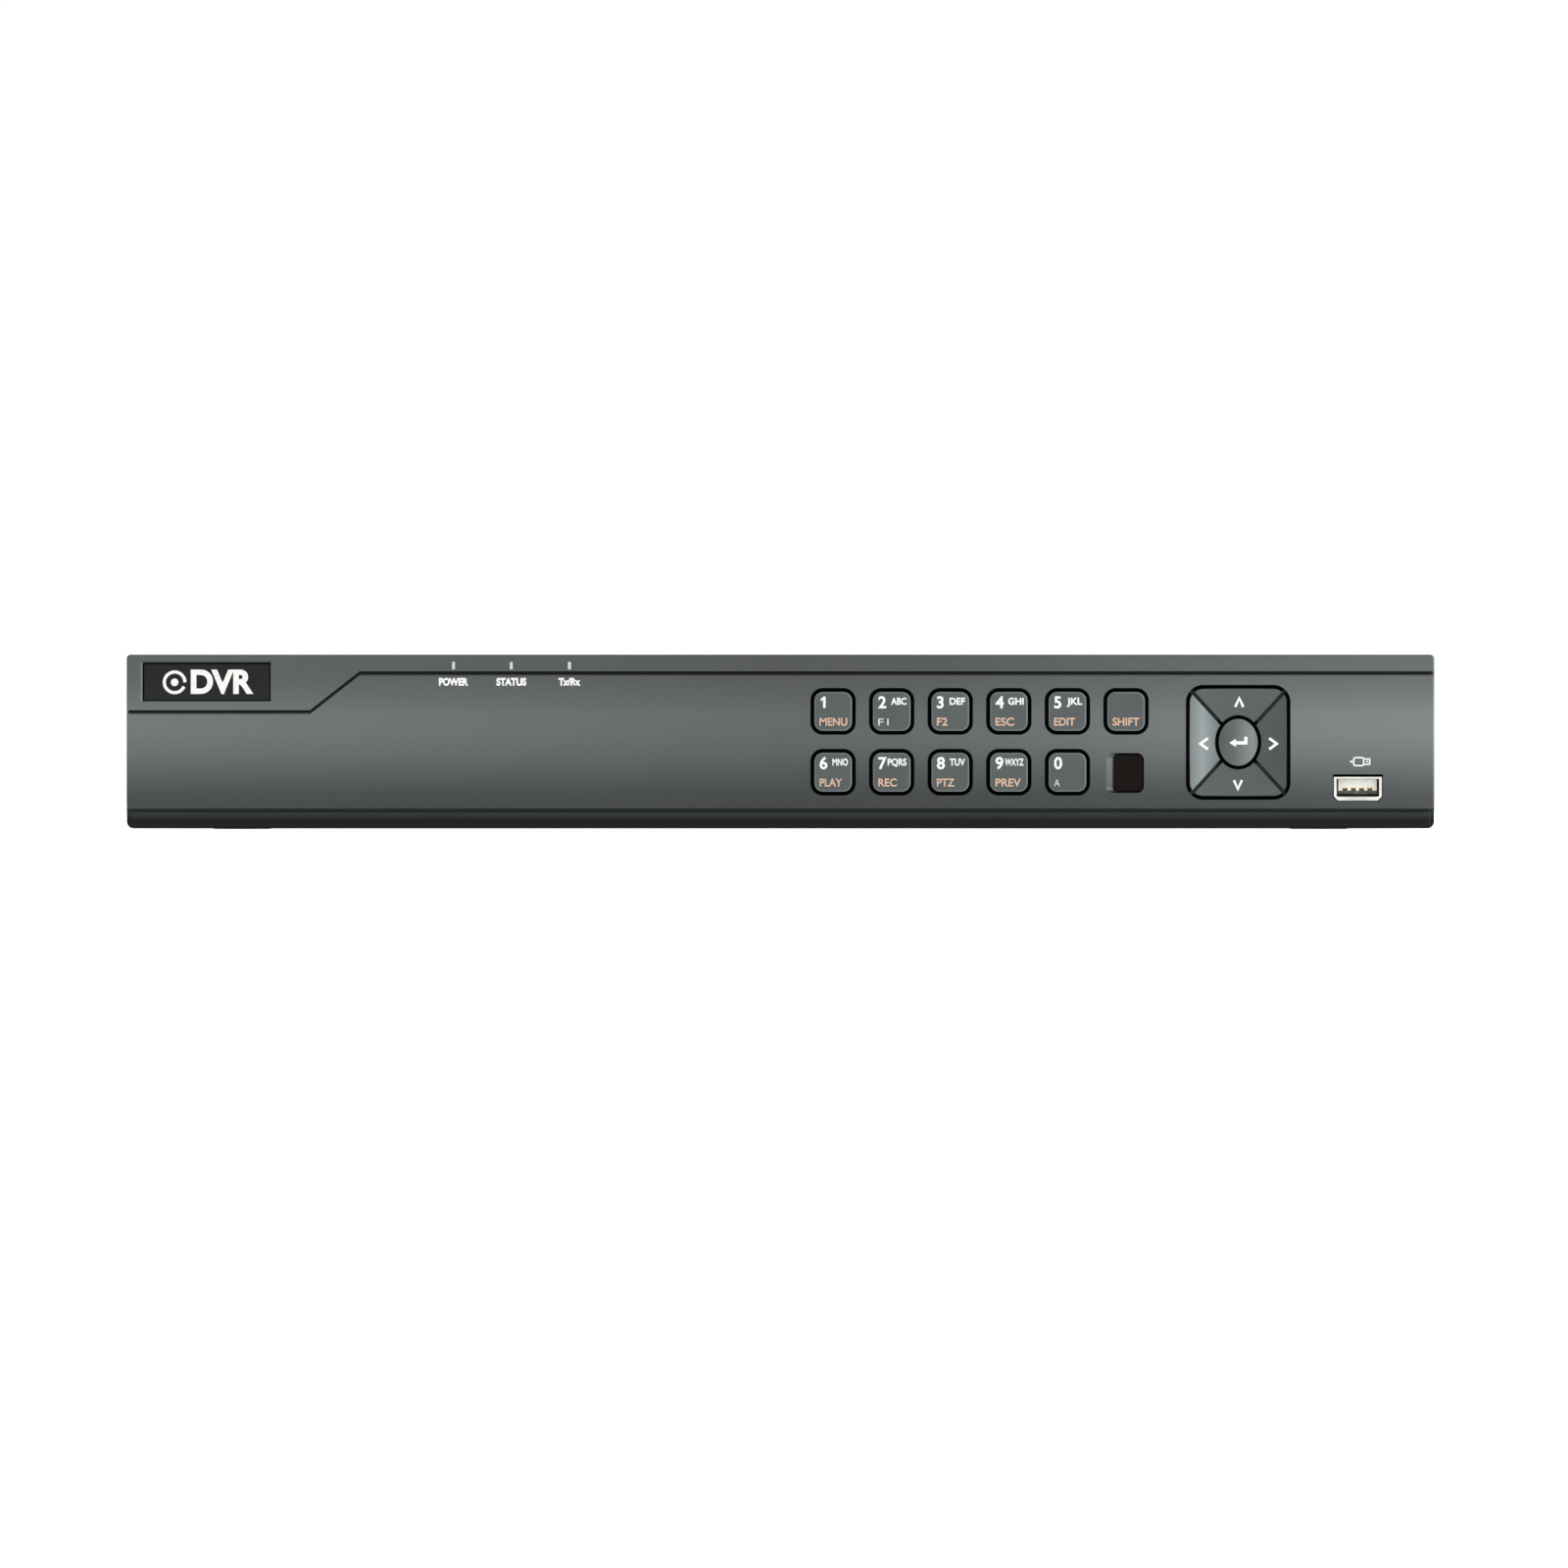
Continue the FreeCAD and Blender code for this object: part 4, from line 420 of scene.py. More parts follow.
# the plain finish of each material slot; places along Y on the rear are millimetres off the panel
MATERIALS = {
    "zinc_steel": zinc_sheet("zinc_sheet"),
    "panel_paint": painted("panel_paint", (176, 183, 181), 0.5, spread=0.012, depth=0.01),
    "cover_paint": painted("cover_paint", (12, 14, 11), 0.5, grain=1500, depth=0.03, spread=0.08,
                           gloss=0.09, sheen=0.3),
    "bezel_plastic": bezel("bezel_plastic"),
    "fascia_paint": fascia_paint("fascia_paint"),
    "badge_gloss": moulded("badge_gloss", (26, 29, 28), 0.26, depth=0.002, gloss=0.12),
    "rubber_black": moulded("rubber_black", (27, 27, 27), 0.85, texture=700, depth=0.05),
    "clear_plastic": clear_light("clear_plastic"),
    "ir_plastic": dark_glass("ir_plastic"),
    "board_green": board_mask("board_green"),
    "component_black": moulded("component_black", (20, 20, 21), 0.5, gloss=0.15),
    "nickel": plated("nickel", (206, 200, 188), 0.24),
    "tin_plate": port_metal("tin_plate", (208, 208, 202), 0.28),
    "white_plastic": moulded("white_plastic", (238, 235, 226), 0.45, spread=0.02),
    "blue_plastic": moulded("blue_plastic", (76, 108, 160), 0.45),
    "key_plastic": key_cap("key_plastic"),
    "red_plastic": deep_plastic("red_plastic", 7.5, 2.0, (112, 44, 42), (30, 8, 8), 0.35),
    "terminal_green": moulded("terminal_green", (134, 170, 131), 0.48),
    "lever_orange": lever_plastic("lever_orange"),
    "switch_black": moulded("switch_black", (8, 9, 8), 0.34, gloss=0.14),
    "heatsink_alu": plated("heatsink_alu", (120, 122, 126), 0.4, brush=(30, 400, 400)),
    "drive_alu": plated("drive_alu", (176, 178, 180), 0.45, brush=(30, 400, 400)),
    "cable_grey": moulded("cable_grey", (58, 60, 62), 0.6),
}
INK_WHITE = ink("ink_white", (218, 220, 218))
INK_ORANGE = ink("ink_orange", (192, 158, 134))
INK_DARK = ink("ink_dark", (34, 37, 38))
INK_BLACK = ink("ink_black", (24, 25, 26))
INK_GREY = ink("ink_grey", (186, 191, 190))
INK_SILVER = ink("ink_silver", (214, 216, 212), 0.35)
GOLD = plated("contact_gold", (212, 176, 96), 0.22)
# bronze contacts darkened to near black as painted shade in their sockets
SHADED_BRONZE = plated("contact_bronze_shaded", (58, 52, 42), 0.4)
SHADED = plated("contact_shaded", (16, 14, 12), 0.5)

# nodes whose look differs from the plain finish of their slot
SPECIAL = {
    "bnc_shells": jack_nickel("video_jack_nickel", 0.0, 12.0),
    "rca_shells": jack_nickel("audio_jack_nickel", 0.0, 8.0),
    "vga_jackscrews": jack_nickel("jackscrew_nickel", 0.7, 5.0),
    "bnc_insulators": deep_plastic("jack_insulator", 8.5, 2.0, (212, 206, 194), (50, 46, 40),
                                   0.4),
    "rca_white_insulator": deep_plastic("audio_insulator", 7.5, 2.0, (232, 230, 222),
                                        (60, 58, 54), 0.4),
    "bnc_contacts": SHADED_BRONZE,
    "vga_insert": deep_plastic("vga_plastic", 4.6, 3.4, (44, 43, 43), (2, 2, 2), 0.5, 0.08),
    "dc_socket": deep_plastic("inlet_plastic", 1.1, 0.0, (25, 26, 26), (3, 3, 3), 0.4, 0.1),
    "lan_insert": deep_plastic("network_plastic", 0.0, -4.0, (20, 20, 20), (4, 4, 4), 0.5, 0.1),
    # the recess colours of these screws are painted shade
    "panel_screws": screw_metal("silver_screw_heads", (214, 212, 202), (58, 55, 48), 0.5, 0.24),
    # the cover screws are black; their grey head colour is a painted highlight
    "cover_screws": screw_metal("cover_screw_heads", (124, 124, 118), (9, 9, 9), 1.6, 0.3),
    "ground_screw": screw_metal("ground_screw_head", (84, 84, 80), (9, 9, 9), 0.7, 0.34),
    # painted highlight: the sheen across the left, right and enter keys of the pad
    "key_left": key_cap("key_left_lacquer_painted_sheen", ((0.0, 190), (0.45, 235), (1.0, 180)), (119, 127)),
    "key_right": key_cap("key_right_lacquer_painted_sheen", ((0.0, 120), (1.0, 108)), (139, 147)),
    "key_enter": key_cap("key_enter_lacquer_painted_sheen", ((0.0, 124), (0.4, 150), (0.85, 204), (1.0, 184)),
                         (127, 139)),
}
for entry in frame["record"]["subparts"]:
    for slot in NODES[entry["node"]].material_slots:
        slot.material = SPECIAL.get(entry["node"]) or MATERIALS[entry["material_slot"]]


# ---- outlines, in (x, z) millimetres -----------------------------------------------------
def arc(cx, cz, radius, start, stop, steps=8):
    """Points along an arc; angles in degrees."""
    return [(cx + radius * math.cos(math.radians(start + (stop - start) * i / steps)),
             cz + radius * math.sin(math.radians(start + (stop - start) * i / steps)))
            for i in range(steps + 1)]


def disc(cx, cz, radius, points=24):
    step = 360 / points
    return arc(cx, cz, radius, 0, 360 - step, points - 1)


def pill(x, z, width, height, radius, steps=5):
    """Rounded rectangle."""
    w, h = width / 2 - radius, height / 2 - radius
    return (arc(x + w, z + h, radius, 0, 90, steps) + arc(x - w, z + h, radius, 90, 180, steps)
            + arc(x - w, z - h, radius, 180, 270, steps)
            + arc(x + w, z - h, radius, 270, 360, steps))


def row(count, pitch, middle=0.0):
    """Evenly spaced places about a middle."""
    return [middle + pitch * (i - (count - 1) / 2) for i in range(count)]


def offset_line(points, half, closed):
    """Left and right offsets of a line, mitred at its corners."""
    sharpest = 0.62             # cosine of half the sharpest turn that gets its full mitre
    count = len(points)
    left, right = [], []
    for i, point in enumerate(points):
        before = points[i - 1] if closed or i else None
        after = points[(i + 1) % count] if closed or i < count - 1 else None
        runs = []
        if before is not None:
            runs.append((Vector(point) - Vector(before)).normalized())
        if after is not None:
            runs.append((Vector(after) - Vector(point)).normalized())
        mean = sum(runs, Vector((0, 0))).normalized()
        normal = Vector((-mean.y, mean.x))
        reach = half / max(sharpest, normal.dot(Vector((-runs[0].y, runs[0].x))))
        left.append(tuple(Vector(point) + normal * reach))
        right.append(tuple(Vector(point) - normal * reach))
    return left, right


def make_piece(name, mesh, material, body):
    """Turns a finished bmesh into a piece that rides on a body."""
    bmesh.ops.recalc_face_normals(mesh, faces=mesh.faces)
    data = bpy.data.meshes.new(name)
    mesh.to_mesh(data)
    mesh.free()
    data.materials.append(material)
    piece = bpy.data.objects.new(name, data)
    bpy.context.scene.collection.objects.link(piece)
    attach(piece, body)


# ---- thin printed details ----------------------------------------------------------------
SINK, PROUD = 0.02, 0.02    # how deep print is set into its face, and how far it stands out
CAP_HEIGHT = 0.69           # of the built-in font at size 1
EXTRUDE = 0.01              # half the depth of raw lettering, before it is scaled


class Layer:
    """Collects flat outlines in one vertical plane and makes one thin piece of them.

    Points are (x, z) in millimetres. facing is -1 on the front and 1 on the rear; at is the
    plane's Y and thick is how far the layer stands proud of it.
    """

    def __init__(self, name, body, facing, at, thick=PROUD):
        self.name, self.body, self.facing, self.at, self.thick = name, body, facing, at, thick
        self.mesh = bmesh.new()

    def plate(self, outline):
        """Prism of one closed outline."""
        back, front = self.at - self.facing * SINK, self.at + self.facing * self.thick
        near = [self.mesh.verts.new((x * MM, front * MM, z * MM)) for x, z in outline]
        far = [self.mesh.verts.new((x * MM, back * MM, z * MM)) for x, z in outline]
        self.mesh.faces.new(near)
        self.mesh.faces.new(far[::-1])
        for i in range(len(near)):
            j = (i + 1) % len(near)
            self.mesh.faces.new((near[j], near[i], far[i], far[j]))

    def stroke(self, points, width, closed=False):
        """Line of even width along points, with mitred corners."""
        left, right = offset_line(points, width / 2, closed)
        count = len(points)
        for i in range(count if closed else count - 1):
            j = (i + 1) % count
            self.plate([left[i], left[j], right[j], right[i]])

    def one(self, x, z, height):
        """Figure one with a flag, its left edge at x and its baseline at z."""
        shape = [(0.30, 0), (0.52, 0), (0.52, 1), (0.36, 1), (0.10, 0.80), (0.10, 0.60),
                 (0.30, 0.72)]
        self.plate([(x - self.facing * u * height, z + v * height) for u, v in shape])

    def text(self, words, x, z, height, width=None, align="CENTER", weight=0.0):
        """Lettering with its baseline at z; width stretches or squeezes it to fit."""
        curve = bpy.data.curves.new("lettering", "FONT")
        curve.body = words
        curve.offset = weight
        curve.extrude = EXTRUDE
        raw = bpy.data.objects.new("lettering", curve)
        bpy.context.scene.collection.objects.link(raw)
        bpy.context.view_layer.update()
        solid = bpy.data.meshes.new_from_object(
            raw.evaluated_get(bpy.context.evaluated_depsgraph_get()))
        bpy.data.objects.remove(raw)
        low = min(v.co.x for v in solid.vertices)
        wide = max(v.co.x for v in solid.vertices) - low
        scale = height / CAP_HEIGHT
        stretch = width / wide if width else scale
        start = {"CENTER": -wide / 2, "LEFT": 0, "RIGHT": -wide}[align] * stretch
        middle = self.at + self.facing * (self.thick - SINK) / 2
        for v in solid.vertices:
            across = (v.co.x - low) * stretch + start
            out = v.co.z / EXTRUDE * (self.thick + SINK) / 2
            v.co = Vector((x - self.facing * across, middle + self.facing * out,
                           z + v.co.y * scale)) * MM
        self.mesh.from_mesh(solid)
        bpy.data.meshes.remove(solid)

    def finish(self, material, onto=None):
        """Makes the piece; onto names a node whose curved face the layer follows."""
        if onto:
            data = NODES[onto].data
            face = BVHTree.FromPolygons([v.co for v in data.vertices],
                                        [p.vertices for p in data.polygons])
            for v in self.mesh.verts:
                start = Vector((v.co.x, self.facing, v.co.z))
                v.co.y += face.ray_cast(start, Vector((0, -self.facing, 0)))[0].y - self.at * MM
        make_piece(self.name, self.mesh, material, self.body)


def port_mark(layer, x, z, size):
    """Small plug drawing beside a port."""
    unit = size / 6
    line = 0.4 * unit
    layer.stroke(pill(x - 0.6 * unit, z, 3.0 * unit, 2.4 * unit, 0.5 * unit, 3), line, closed=True)
    layer.stroke([(x + 1.0 * unit, z + 0.8 * unit), (x + 2.7 * unit, z + 0.8 * unit),
                  (x + 2.7 * unit, z - 0.8 * unit), (x + 1.0 * unit, z - 0.8 * unit)], line)
    layer.stroke([(x - 2.2 * unit, z), (x - 3.2 * unit, z)], 0.5 * unit)
    layer.plate(pill(x + 1.9 * unit, z, 0.5 * unit, 0.5 * unit, 0.1 * unit, 2))


# lettering of the keys: digit, letters, function word and the word's width
KEYS = {
    "key_1": ("1", "", "MENU", 8.0), "key_2": ("2", "ABC", "F1", 3.0),
    "key_3": ("3", "DEF", "F2", 3.1), "key_4": ("4", "GHI", "ESC", 5.4),
    "key_5": ("5", "JKL", "EDIT", 6.1), "key_shift": ("", "", "SHIFT", 7.8),
    "key_6": ("6", "MNO", "PLAY", 6.5), "key_7": ("7", "PQRS", "REC", 5.4),
    "key_8": ("8", "TUV", "PTZ", 5.1), "key_9": ("9", "WXYZ", "PREV", 7.4),
    "key_0": ("0", "", "A", 1.7),
}
GREY_WORDS = ("F1", "A")
DIGIT_LEFT, DIGIT_FOOT, DIGIT_HEIGHT = -3.9, 1.0, 3.3       # from the key's centre
LETTERS_RIGHT, LETTERS_FOOT, LETTERS_HEIGHT = 4.3, 2.0, 1.9
WORD_FOOT = -4.1


def letters_width(letters):
    """Three letters fill 4.5 mm and a fourth adds 1 mm."""
    return 4.5 + 1.0 * (len(letters) - 3)


for name, (digit, letters, word, width) in KEYS.items():
    key = centre(name)
    left, foot = key.x + DIGIT_LEFT, key.z + DIGIT_FOOT
    if digit:
        white = Layer(f"print_{name}_white", name + "_body", -1, KEY_FACE)
        if digit == "1":
            white.one(left, foot, DIGIT_HEIGHT)
        else:
            white.text(digit, left, foot, DIGIT_HEIGHT, align="LEFT", weight=0.025)
        if letters:
            white.text(letters, key.x + LETTERS_RIGHT, key.z + LETTERS_FOOT, LETTERS_HEIGHT,
                       letters_width(letters), "RIGHT", 0.03)
        white.finish(INK_WHITE)
    label = Layer(f"print_{name}_word", name + "_body", -1, KEY_FACE)
    word_left = key.x - 3.95 if name == "key_shift" else left
    if word in GREY_WORDS:
        label.text(word, word_left, key.z + WORD_FOOT, 2.0, width, "LEFT", 0.0)
        label.finish(INK_GREY)
    else:
        label.text(word, word_left, key.z + WORD_FOOT, 2.2, width, "LEFT", 0.02)
        label.finish(INK_ORANGE)

ARROWS = (                  # key, place from the pad's centre, the way it points
    ("key_up", 0.3, 11.6, 0, 1),
    ("key_down", -0.1, -12.3, 0, -1),
    ("key_left", -9.9, -0.4, -1, 0),
    ("key_right", 10.1, -0.4, 1, 0),
)
pad = centre("key_enter")
for name, dx, dz, right, up in ARROWS:
    arrow = Layer(f"print_{name}", name + "_body", -1, KEY_FACE, 0.05)
    x, z = pad.x + dx, pad.z + dz
    if up:
        arrow.stroke([(x - 1.15, z - up * 1.3), (x, z + up * 1.3), (x + 1.15, z - up * 1.3)], 0.75)
    else:
        arrow.stroke([(x - right * 1.1, z + 1.6), (x + right * 1.1, z),
                      (x - right * 1.1, z - 1.6)], 0.75)
    arrow.finish(INK_WHITE, name)
enter = Layer("print_key_enter", "key_enter_body", -1, KEY_FACE, 0.08)
shaft = pad.z - 0.15
enter.plate([(pad.x - 2.6, shaft), (pad.x - 0.7, shaft - 1.2), (pad.x - 0.7, shaft + 1.2)])
enter.stroke([(pad.x - 0.9, shaft), (pad.x + 2.2, shaft), (pad.x + 2.2, pad.z + 1.6)], 0.95)
enter.finish(INK_WHITE, "key_enter")

# fascia lettering and port mark
fascia_print = Layer("print_fascia", "case", -1, FASCIA)
for words, x, width in (("POWER", -95.0, 8.5), ("STATUS", -78.2, 8.7), ("Tx/Rx", -61.3, 6.4)):
    fascia_print.text(words, x, 41.9, 2.0, width, weight=0.05)
port_mark(fascia_print, 168.6, 19.7, 5.8)
fascia_print.finish(INK_WHITE)

# badge: an open ring round a dot, then the name
badge_low, badge_high = (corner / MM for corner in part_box("badge_plate"))
badge = Layer("print_badge", "case", -1, badge_low.y)
ring_x, ring_z = badge_low.x + 8.9, (badge_low.z + badge_high.z) / 2
badge.stroke(arc(ring_x, ring_z, 3.0, 0, 335.4, 35), 0.9)
badge.plate(disc(ring_x, ring_z, 1.1))
badge.text("DVR", badge_low.x + 13.6, ring_z - 3.0, 6.4, 18.2, "LEFT", 0.04)
badge.finish(INK_SILVER)

# ---- rear panel print --------------------------------------------------------------------
VIDEO_WAYS = [165.1 - 17.04 * i for i in range(8)]
TERMINAL_PITCH = 2.54
RS485_WAYS = [centre("rs485_lever_a").x - TERMINAL_PITCH * i for i in range(2)]
ALARM_WAYS = [-112.7 - TERMINAL_PITCH * i for i in range(26)]
ALARM_INPUTS = 16           # the other ways are the relay outputs, each beside a ground
USB_X = centre("rear_usb_tongue").x
LABELS = (                  # words, centre, baseline, height, width
    ("VIDEO IN", 104.7, 6.8, 1.6, 12.6),
    ("VIDEO", USB_X, 23.2, 1.5, 7.4),
    ("OUT", USB_X, 21.0, 1.5, 4.6),
    ("HD OUT", centre("hd_port_shell").x, 6.8, 1.6, 9.4),
    ("VGA", centre("vga_shell").x, 6.8, 1.6, 5.6),
    ("AUDIO OUT", -46.1, 6.8, 1.6, 14.4),
    ("LAN", centre("lan_shell").x, 6.6, 1.6, 5.3),
    ("AUDIO IN", -69.0, 38.1, 1.6, 11.8),
    ("RS-485", -80.5, 5.3, 1.4, 9.2),
    ("12V", -96.0, 6.6, 1.6, 4.2),
    ("POWER", -130.0, 32.4, 1.6, 9.4),
    ("IN", -130.5, 5.3, 1.5, 2.2),
    ("ALARM", -144.5, 5.3, 1.5, 9.0),
    ("OUT", -159.6, 5.3, 1.5, 4.6),
)
print_dark = Layer("print_rear_dark", "case", 1, PANEL)
tags = Layer("print_rear_tags", "case", 1, PANEL)
digits = Layer("print_rear_digits", "case", 1, PANEL + PROUD)


def tag(x, z, words, width, height, text_height=1.5):
    """White characters on a small black field."""
    tags.plate(pill(x, z, width, height, 0.6, 3))
    if words == "1":
        digits.one(x + 0.31 * text_height, z - text_height / 2, text_height)
    else:
        digits.text(words, x, z - text_height / 2, text_height)


def alarm_number(i):
    """Inputs count from 1; after them come a ground and a number by turns, from G and 2."""
    if i < ALARM_INPUTS:
        return str(i + 1)
    turn, second = divmod(i - ALARM_INPUTS, 2)
    return str(turn + 2) if second else "G"


def ground_sign(layer, x, z):
    layer.stroke([(x, z + 1.6), (x, z)], 0.35)
    for i, half in enumerate((1.5, 1.0, 0.45)):
        layer.stroke([(x - half, z - 0.6 * i), (x + half, z - 0.6 * i)], 0.35)


def direct_current_sign(layer, x, z):
    """A line over three dashes."""
    layer.stroke([(x, z + 0.9), (x - 3.4, z + 0.9)], 0.35)
    for i in range(3):
        layer.stroke([(x - 1.3 * i, z), (x - 0.8 - 1.3 * i, z)], 0.35)


for words, x, z, height, width in LABELS:
    print_dark.text(words, x, z, height, width, weight=0.035)
print_dark.stroke(pill(105.0, 24.95, 135.0, 30.7, 1.8, 6), 0.38, closed=True)
port_mark(print_dark, USB_X, 7.6, 5.0)
audio_bracket = ([(-46.9, 36.2)] + arc(-48.1, 36.2, 1.2, 0, 90, 5)
                 + arc(-90.2, 36.2, 1.2, 90, 180, 5) + [(-91.4, 36.0)])
print_dark.stroke(audio_bracket, 0.35)
direct_current_sign(print_dark, -99.2, 7.1)
for start, stop in ((-132.3, -139.4), (-149.6, -156.7)):
    print_dark.stroke([(start, 6.0), (stop, 6.0)], 0.3)
ground_sign(print_dark, centre("ground_screw").x, 31.5)
for i, x in enumerate(VIDEO_WAYS):
    tag(x - 7.5, 26.15, str(i + 1), 2.9, 2.3)
    tag(x - 7.5, 23.55, str(i + 9), 2.9, 2.3)
for x, words in ((-52.9, "1"), (-55.5, "2"), (-82.8, "3"), (-85.4, "4")):
    tag(x, 35.4, words, 2.3, 2.1, 1.4)
for x, words in zip(RS485_WAYS, "+-"):
    tag(x, 8.6, words, 2.0, 1.9, 1.2)
for i, x in enumerate(ALARM_WAYS):
    tag(x, 8.55, alarm_number(i), 2.44, 2.2, 1.1)
print_dark.finish(INK_DARK)
tags.finish(INK_BLACK)
digits.finish(INK_WHITE)
dot = Layer("print_power_dot", "power_rocker", 1, PANEL + 1.5, 0.04)
dot.plate(disc(-111.0, 32.8, 1.0))
dot.finish(INK_WHITE, "switch_rocker")


# ---- contacts and small hardware ---------------------------------------------------------
def bar(name, boxes, material, bevel=0.06):
    """One piece of several small bevelled blocks, each (x0, x1, y0, y1, z0, z1)."""
    mesh = bmesh.new()
    for x0, x1, y0, y1, z0, z1 in boxes:
        made = bmesh.ops.create_cube(mesh, size=1)["verts"]
        for v in made:
            v.co = Vector(((x0 + x1) / 2 + v.co.x * (x1 - x0), (y0 + y1) / 2 + v.co.y * (y1 - y0),
                           (z0 + z1) / 2 + v.co.z * (z1 - z0))) * MM
    bmesh.ops.bevel(mesh, geom=list(mesh.edges), offset=bevel * MM, segments=2, affect="EDGES")
    make_piece(name, mesh, material, "case")


def band(name, x, z, inner, outer, y0, y1, bevel, material, steps=64):
    """Ring round an axis along Y with bevelled edges."""
    profile = [(inner, y0 + bevel), (inner + bevel, y0), (outer - bevel, y0), (outer, y0 + bevel),
               (outer, y1 - bevel), (outer - bevel, y1), (inner + bevel, y1), (inner, y1 - bevel)]
    mesh = bmesh.new()
    loops = []
    for i in range(steps):
        a = 2 * math.pi * i / steps
        loops.append([mesh.verts.new(Vector((x + r * math.cos(a), y, z + r * math.sin(a))) * MM)
                      for r, y in profile])
    for i, loop in enumerate(loops):
        after = loops[(i + 1) % steps]
        for j in range(len(profile)):
            k = (j + 1) % len(profile)
            mesh.faces.new((loop[j], loop[k], after[k], after[j]))
    make_piece(name, mesh, material, "case")


def usb_contacts(name, node, facing, material):
    """Four leaves on a tongue; facing is 1 if its mouth is on the front."""
    low, high = (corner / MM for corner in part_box(node))
    mouth = low.y if facing == 1 else high.y
    y0, y1 = sorted((mouth + facing * 0.2, mouth + facing * 7.5))
    bar(name, [(x - 0.5, x + 0.5, y0, y1, low.z + 1.6, low.z + 1.95)
               for x in row(4, 2.4, (low.x + high.x) / 2)], material)


def network_contacts():
    """Eight wires in the roof of the network socket."""
    low, high = (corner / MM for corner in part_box("lan_insert"))
    bar("network_contacts",
        [(x - 0.22, x + 0.22, high.y - 9.5, high.y - 1.4, low.z + 9.6, low.z + 9.95)
         for x in row(8, 1.02, (low.x + high.x) / 2)], SHADED_BRONZE)


def power_inlet():
    """Four sleeves on a circle, and the nickel ring round them."""
    x, z = centre("dc_socket").x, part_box("dc_socket")[1].z / MM - 6.7
    corner, half = 1.626, 0.32
    bar("power_inlet_contacts",
        [(x + corner * sx - half, x + corner * sx + half, PANEL - 4.0, PANEL - 0.5,
          z + corner * sz - half, z + corner * sz + half)
         for sx, sz in ((1, 1), (-1, 1), (-1, -1), (1, -1))], SHADED_BRONZE, 0.1)
    band("power_inlet_ring", x, z, 4.5, 5.0, PANEL - 0.55, PANEL + 0.85, 0.12,
         MATERIALS["nickel"])


def hd_port_contacts():
    """Ten leaves under the tongue of the flat video port."""
    low, high = (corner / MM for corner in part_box("hd_port_tongue"))
    bar("hd_port_contacts",
        [(x - 0.25, x + 0.25, high.y - 5.0, high.y - 0.4, high.z - 2.32, high.z - 1.94)
         for x in row(10, 1.0, (low.x + high.x) / 2)], SHADED_BRONZE, 0.04)


def vga_contacts():
    """Three rows of five, the middle row half a pitch across."""
    middle, half = centre("vga_shell"), 0.3
    receptacles = []
    for i, z in enumerate(row(3, 1.98, middle.z)):
        shift = 0.57 if i == 1 else -0.57
        receptacles += [(x - half, x + half, PANEL + 0.5, PANEL + 3.4, z - half, z + half)
                        for x in row(5, 2.29, middle.x + shift)]
    bar("vga_contacts", receptacles, SHADED, 0.1)


usb_contacts("front_usb_contacts", "front_usb_tongue", 1, GOLD)
usb_contacts("rear_usb_contacts", "rear_usb_tongue", -1, SHADED_BRONZE)
network_contacts()
power_inlet()
hd_port_contacts()
vga_contacts()

# ---- studio, in metres -------------------------------------------------------------------
LIGHTS = (                  # name, place, target, size, watts
    ("softbox_front", (-0.5, -1.9, 1.15), (0, -0.1, 0.02), (2.0, 0.9), 8),
    ("softbox_right", (1.5, -1.1, 0.9), (0.1, -0.12, 0.03), (0.5, 0.5), 11),
    ("softbox_top", (0, 0.1, 2.0), (0, 0, 0), (2.2, 1.6), 12),
    ("softbox_rear", (0.6, 1.9, 1.2), (0, 0.1, 0.02), (2.0, 0.9), 12),
    ("softbox_left", (-1.8, 0.9, 0.8), (-0.05, 0.05, 0.03), (0.8, 0.8), 5),
    ("rim_right", (1.3, -0.42, 0.3), (0.1, -0.16, 0.03), (0.25, 0.6), 7),
    ("sheen", (0.8, -3.2, 0.62), (0.1, -0.16, 0.02), (0.4, 0.3), 5),
)


def area_light(name, place, target, size, watts):
    light = bpy.data.lights.new(name, "AREA")
    light.shape = "RECTANGLE"
    light.size, light.size_y = size
    light.energy = watts
    lamp = bpy.data.objects.new(name, light)
    bpy.context.scene.collection.objects.link(lamp)
    lamp.location = place
    lamp.rotation_euler = (Vector(target) - Vector(place)).to_track_quat("-Z", "Y").to_euler()


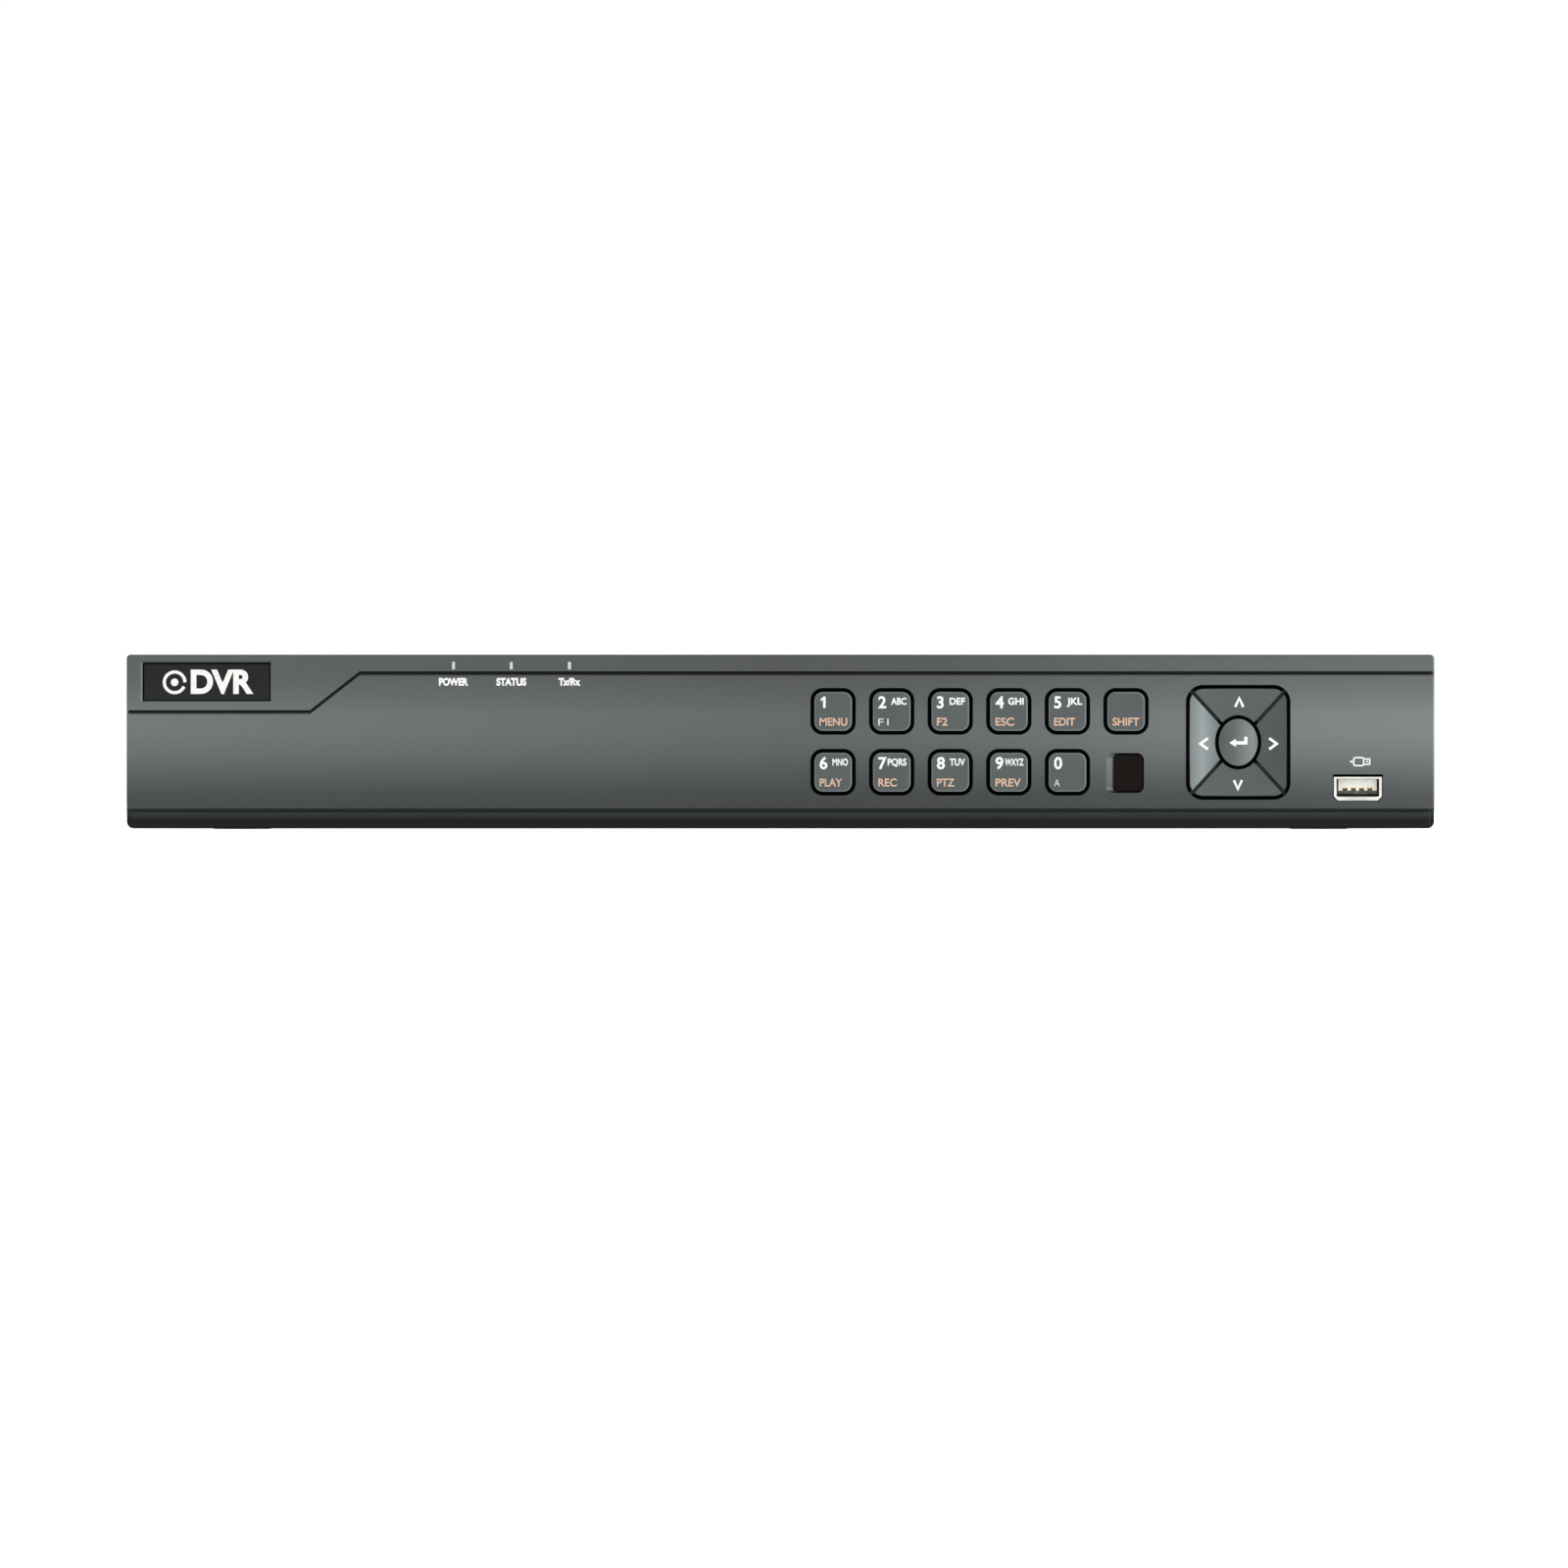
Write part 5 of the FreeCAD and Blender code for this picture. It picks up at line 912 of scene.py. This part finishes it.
def floor():
    """Plain pale floor, far wider than any view."""
    far = 45.0
    data = bpy.data.meshes.new("floor")
    data.from_pydata([(-far, -far, 0), (far, -far, 0), (far, far, 0), (-far, far, 0)], [],
                     [(0, 1, 2, 3)])
    piece = bpy.data.objects.new("floor", data)
    bpy.context.scene.collection.objects.link(piece)
    look = Shader("floor_paper", rough=0.8, Specular_IOR_Level=0.2)
    look.colour(look.ramp(look.noise(6, 3), [(0.3, (240, 240, 240)), (0.7, (243, 243, 243))]))
    look.bsdf.inputs["Emission Color"].default_value = (1, 1, 1, 1)
    look.bsdf.inputs["Emission Strength"].default_value = 0.65
    data.materials.append(look.material)


def surroundings():
    """Bright near the horizon and dimmer overhead, so that metal has something to show."""
    world = bpy.data.worlds.new("studio")
    bpy.context.scene.world = world
    world.use_nodes = True
    tree = world.node_tree
    place = tree.nodes.new("ShaderNodeTexCoord")
    split = tree.nodes.new("ShaderNodeSeparateXYZ")
    tree.links.new(place.outputs["Generated"], split.inputs[0])
    ramp = tree.nodes.new("ShaderNodeValToRGB")
    elements = ramp.color_ramp.elements
    elements.new(0.5)
    for element, (position, level) in zip(elements, ((0.12, 1.0), (0.45, 0.5), (0.9, 0.25))):
        element.position = position
        element.color = (level, level, level, 1)
    tree.links.new(split.outputs["Z"], ramp.inputs[0])
    tree.links.new(ramp.outputs[0], tree.nodes["Background"].inputs[0])
    tree.nodes["Background"].inputs[1].default_value = 1.02


def camera():
    """Straight on to the front through a long lens."""
    distance, field = 4.0, 0.4556       # from the fascia, and the width seen there
    aim_x, aim_z = 0.00103, 0.0132
    lens = bpy.data.cameras.new("camera")
    lens.sensor_width = 36.0
    lens.lens = lens.sensor_width * distance / field
    lens.clip_end = 60.0
    holder = bpy.data.objects.new("camera", lens)
    bpy.context.scene.collection.objects.link(holder)
    holder.location = (aim_x, FASCIA * MM - distance, aim_z)
    holder.rotation_euler = (math.radians(90), 0, 0)
    bpy.context.scene.camera = holder


for light in LIGHTS:
    area_light(*light)
floor()
surroundings()
camera()
bpy.context.scene.view_settings.view_transform = "Standard"
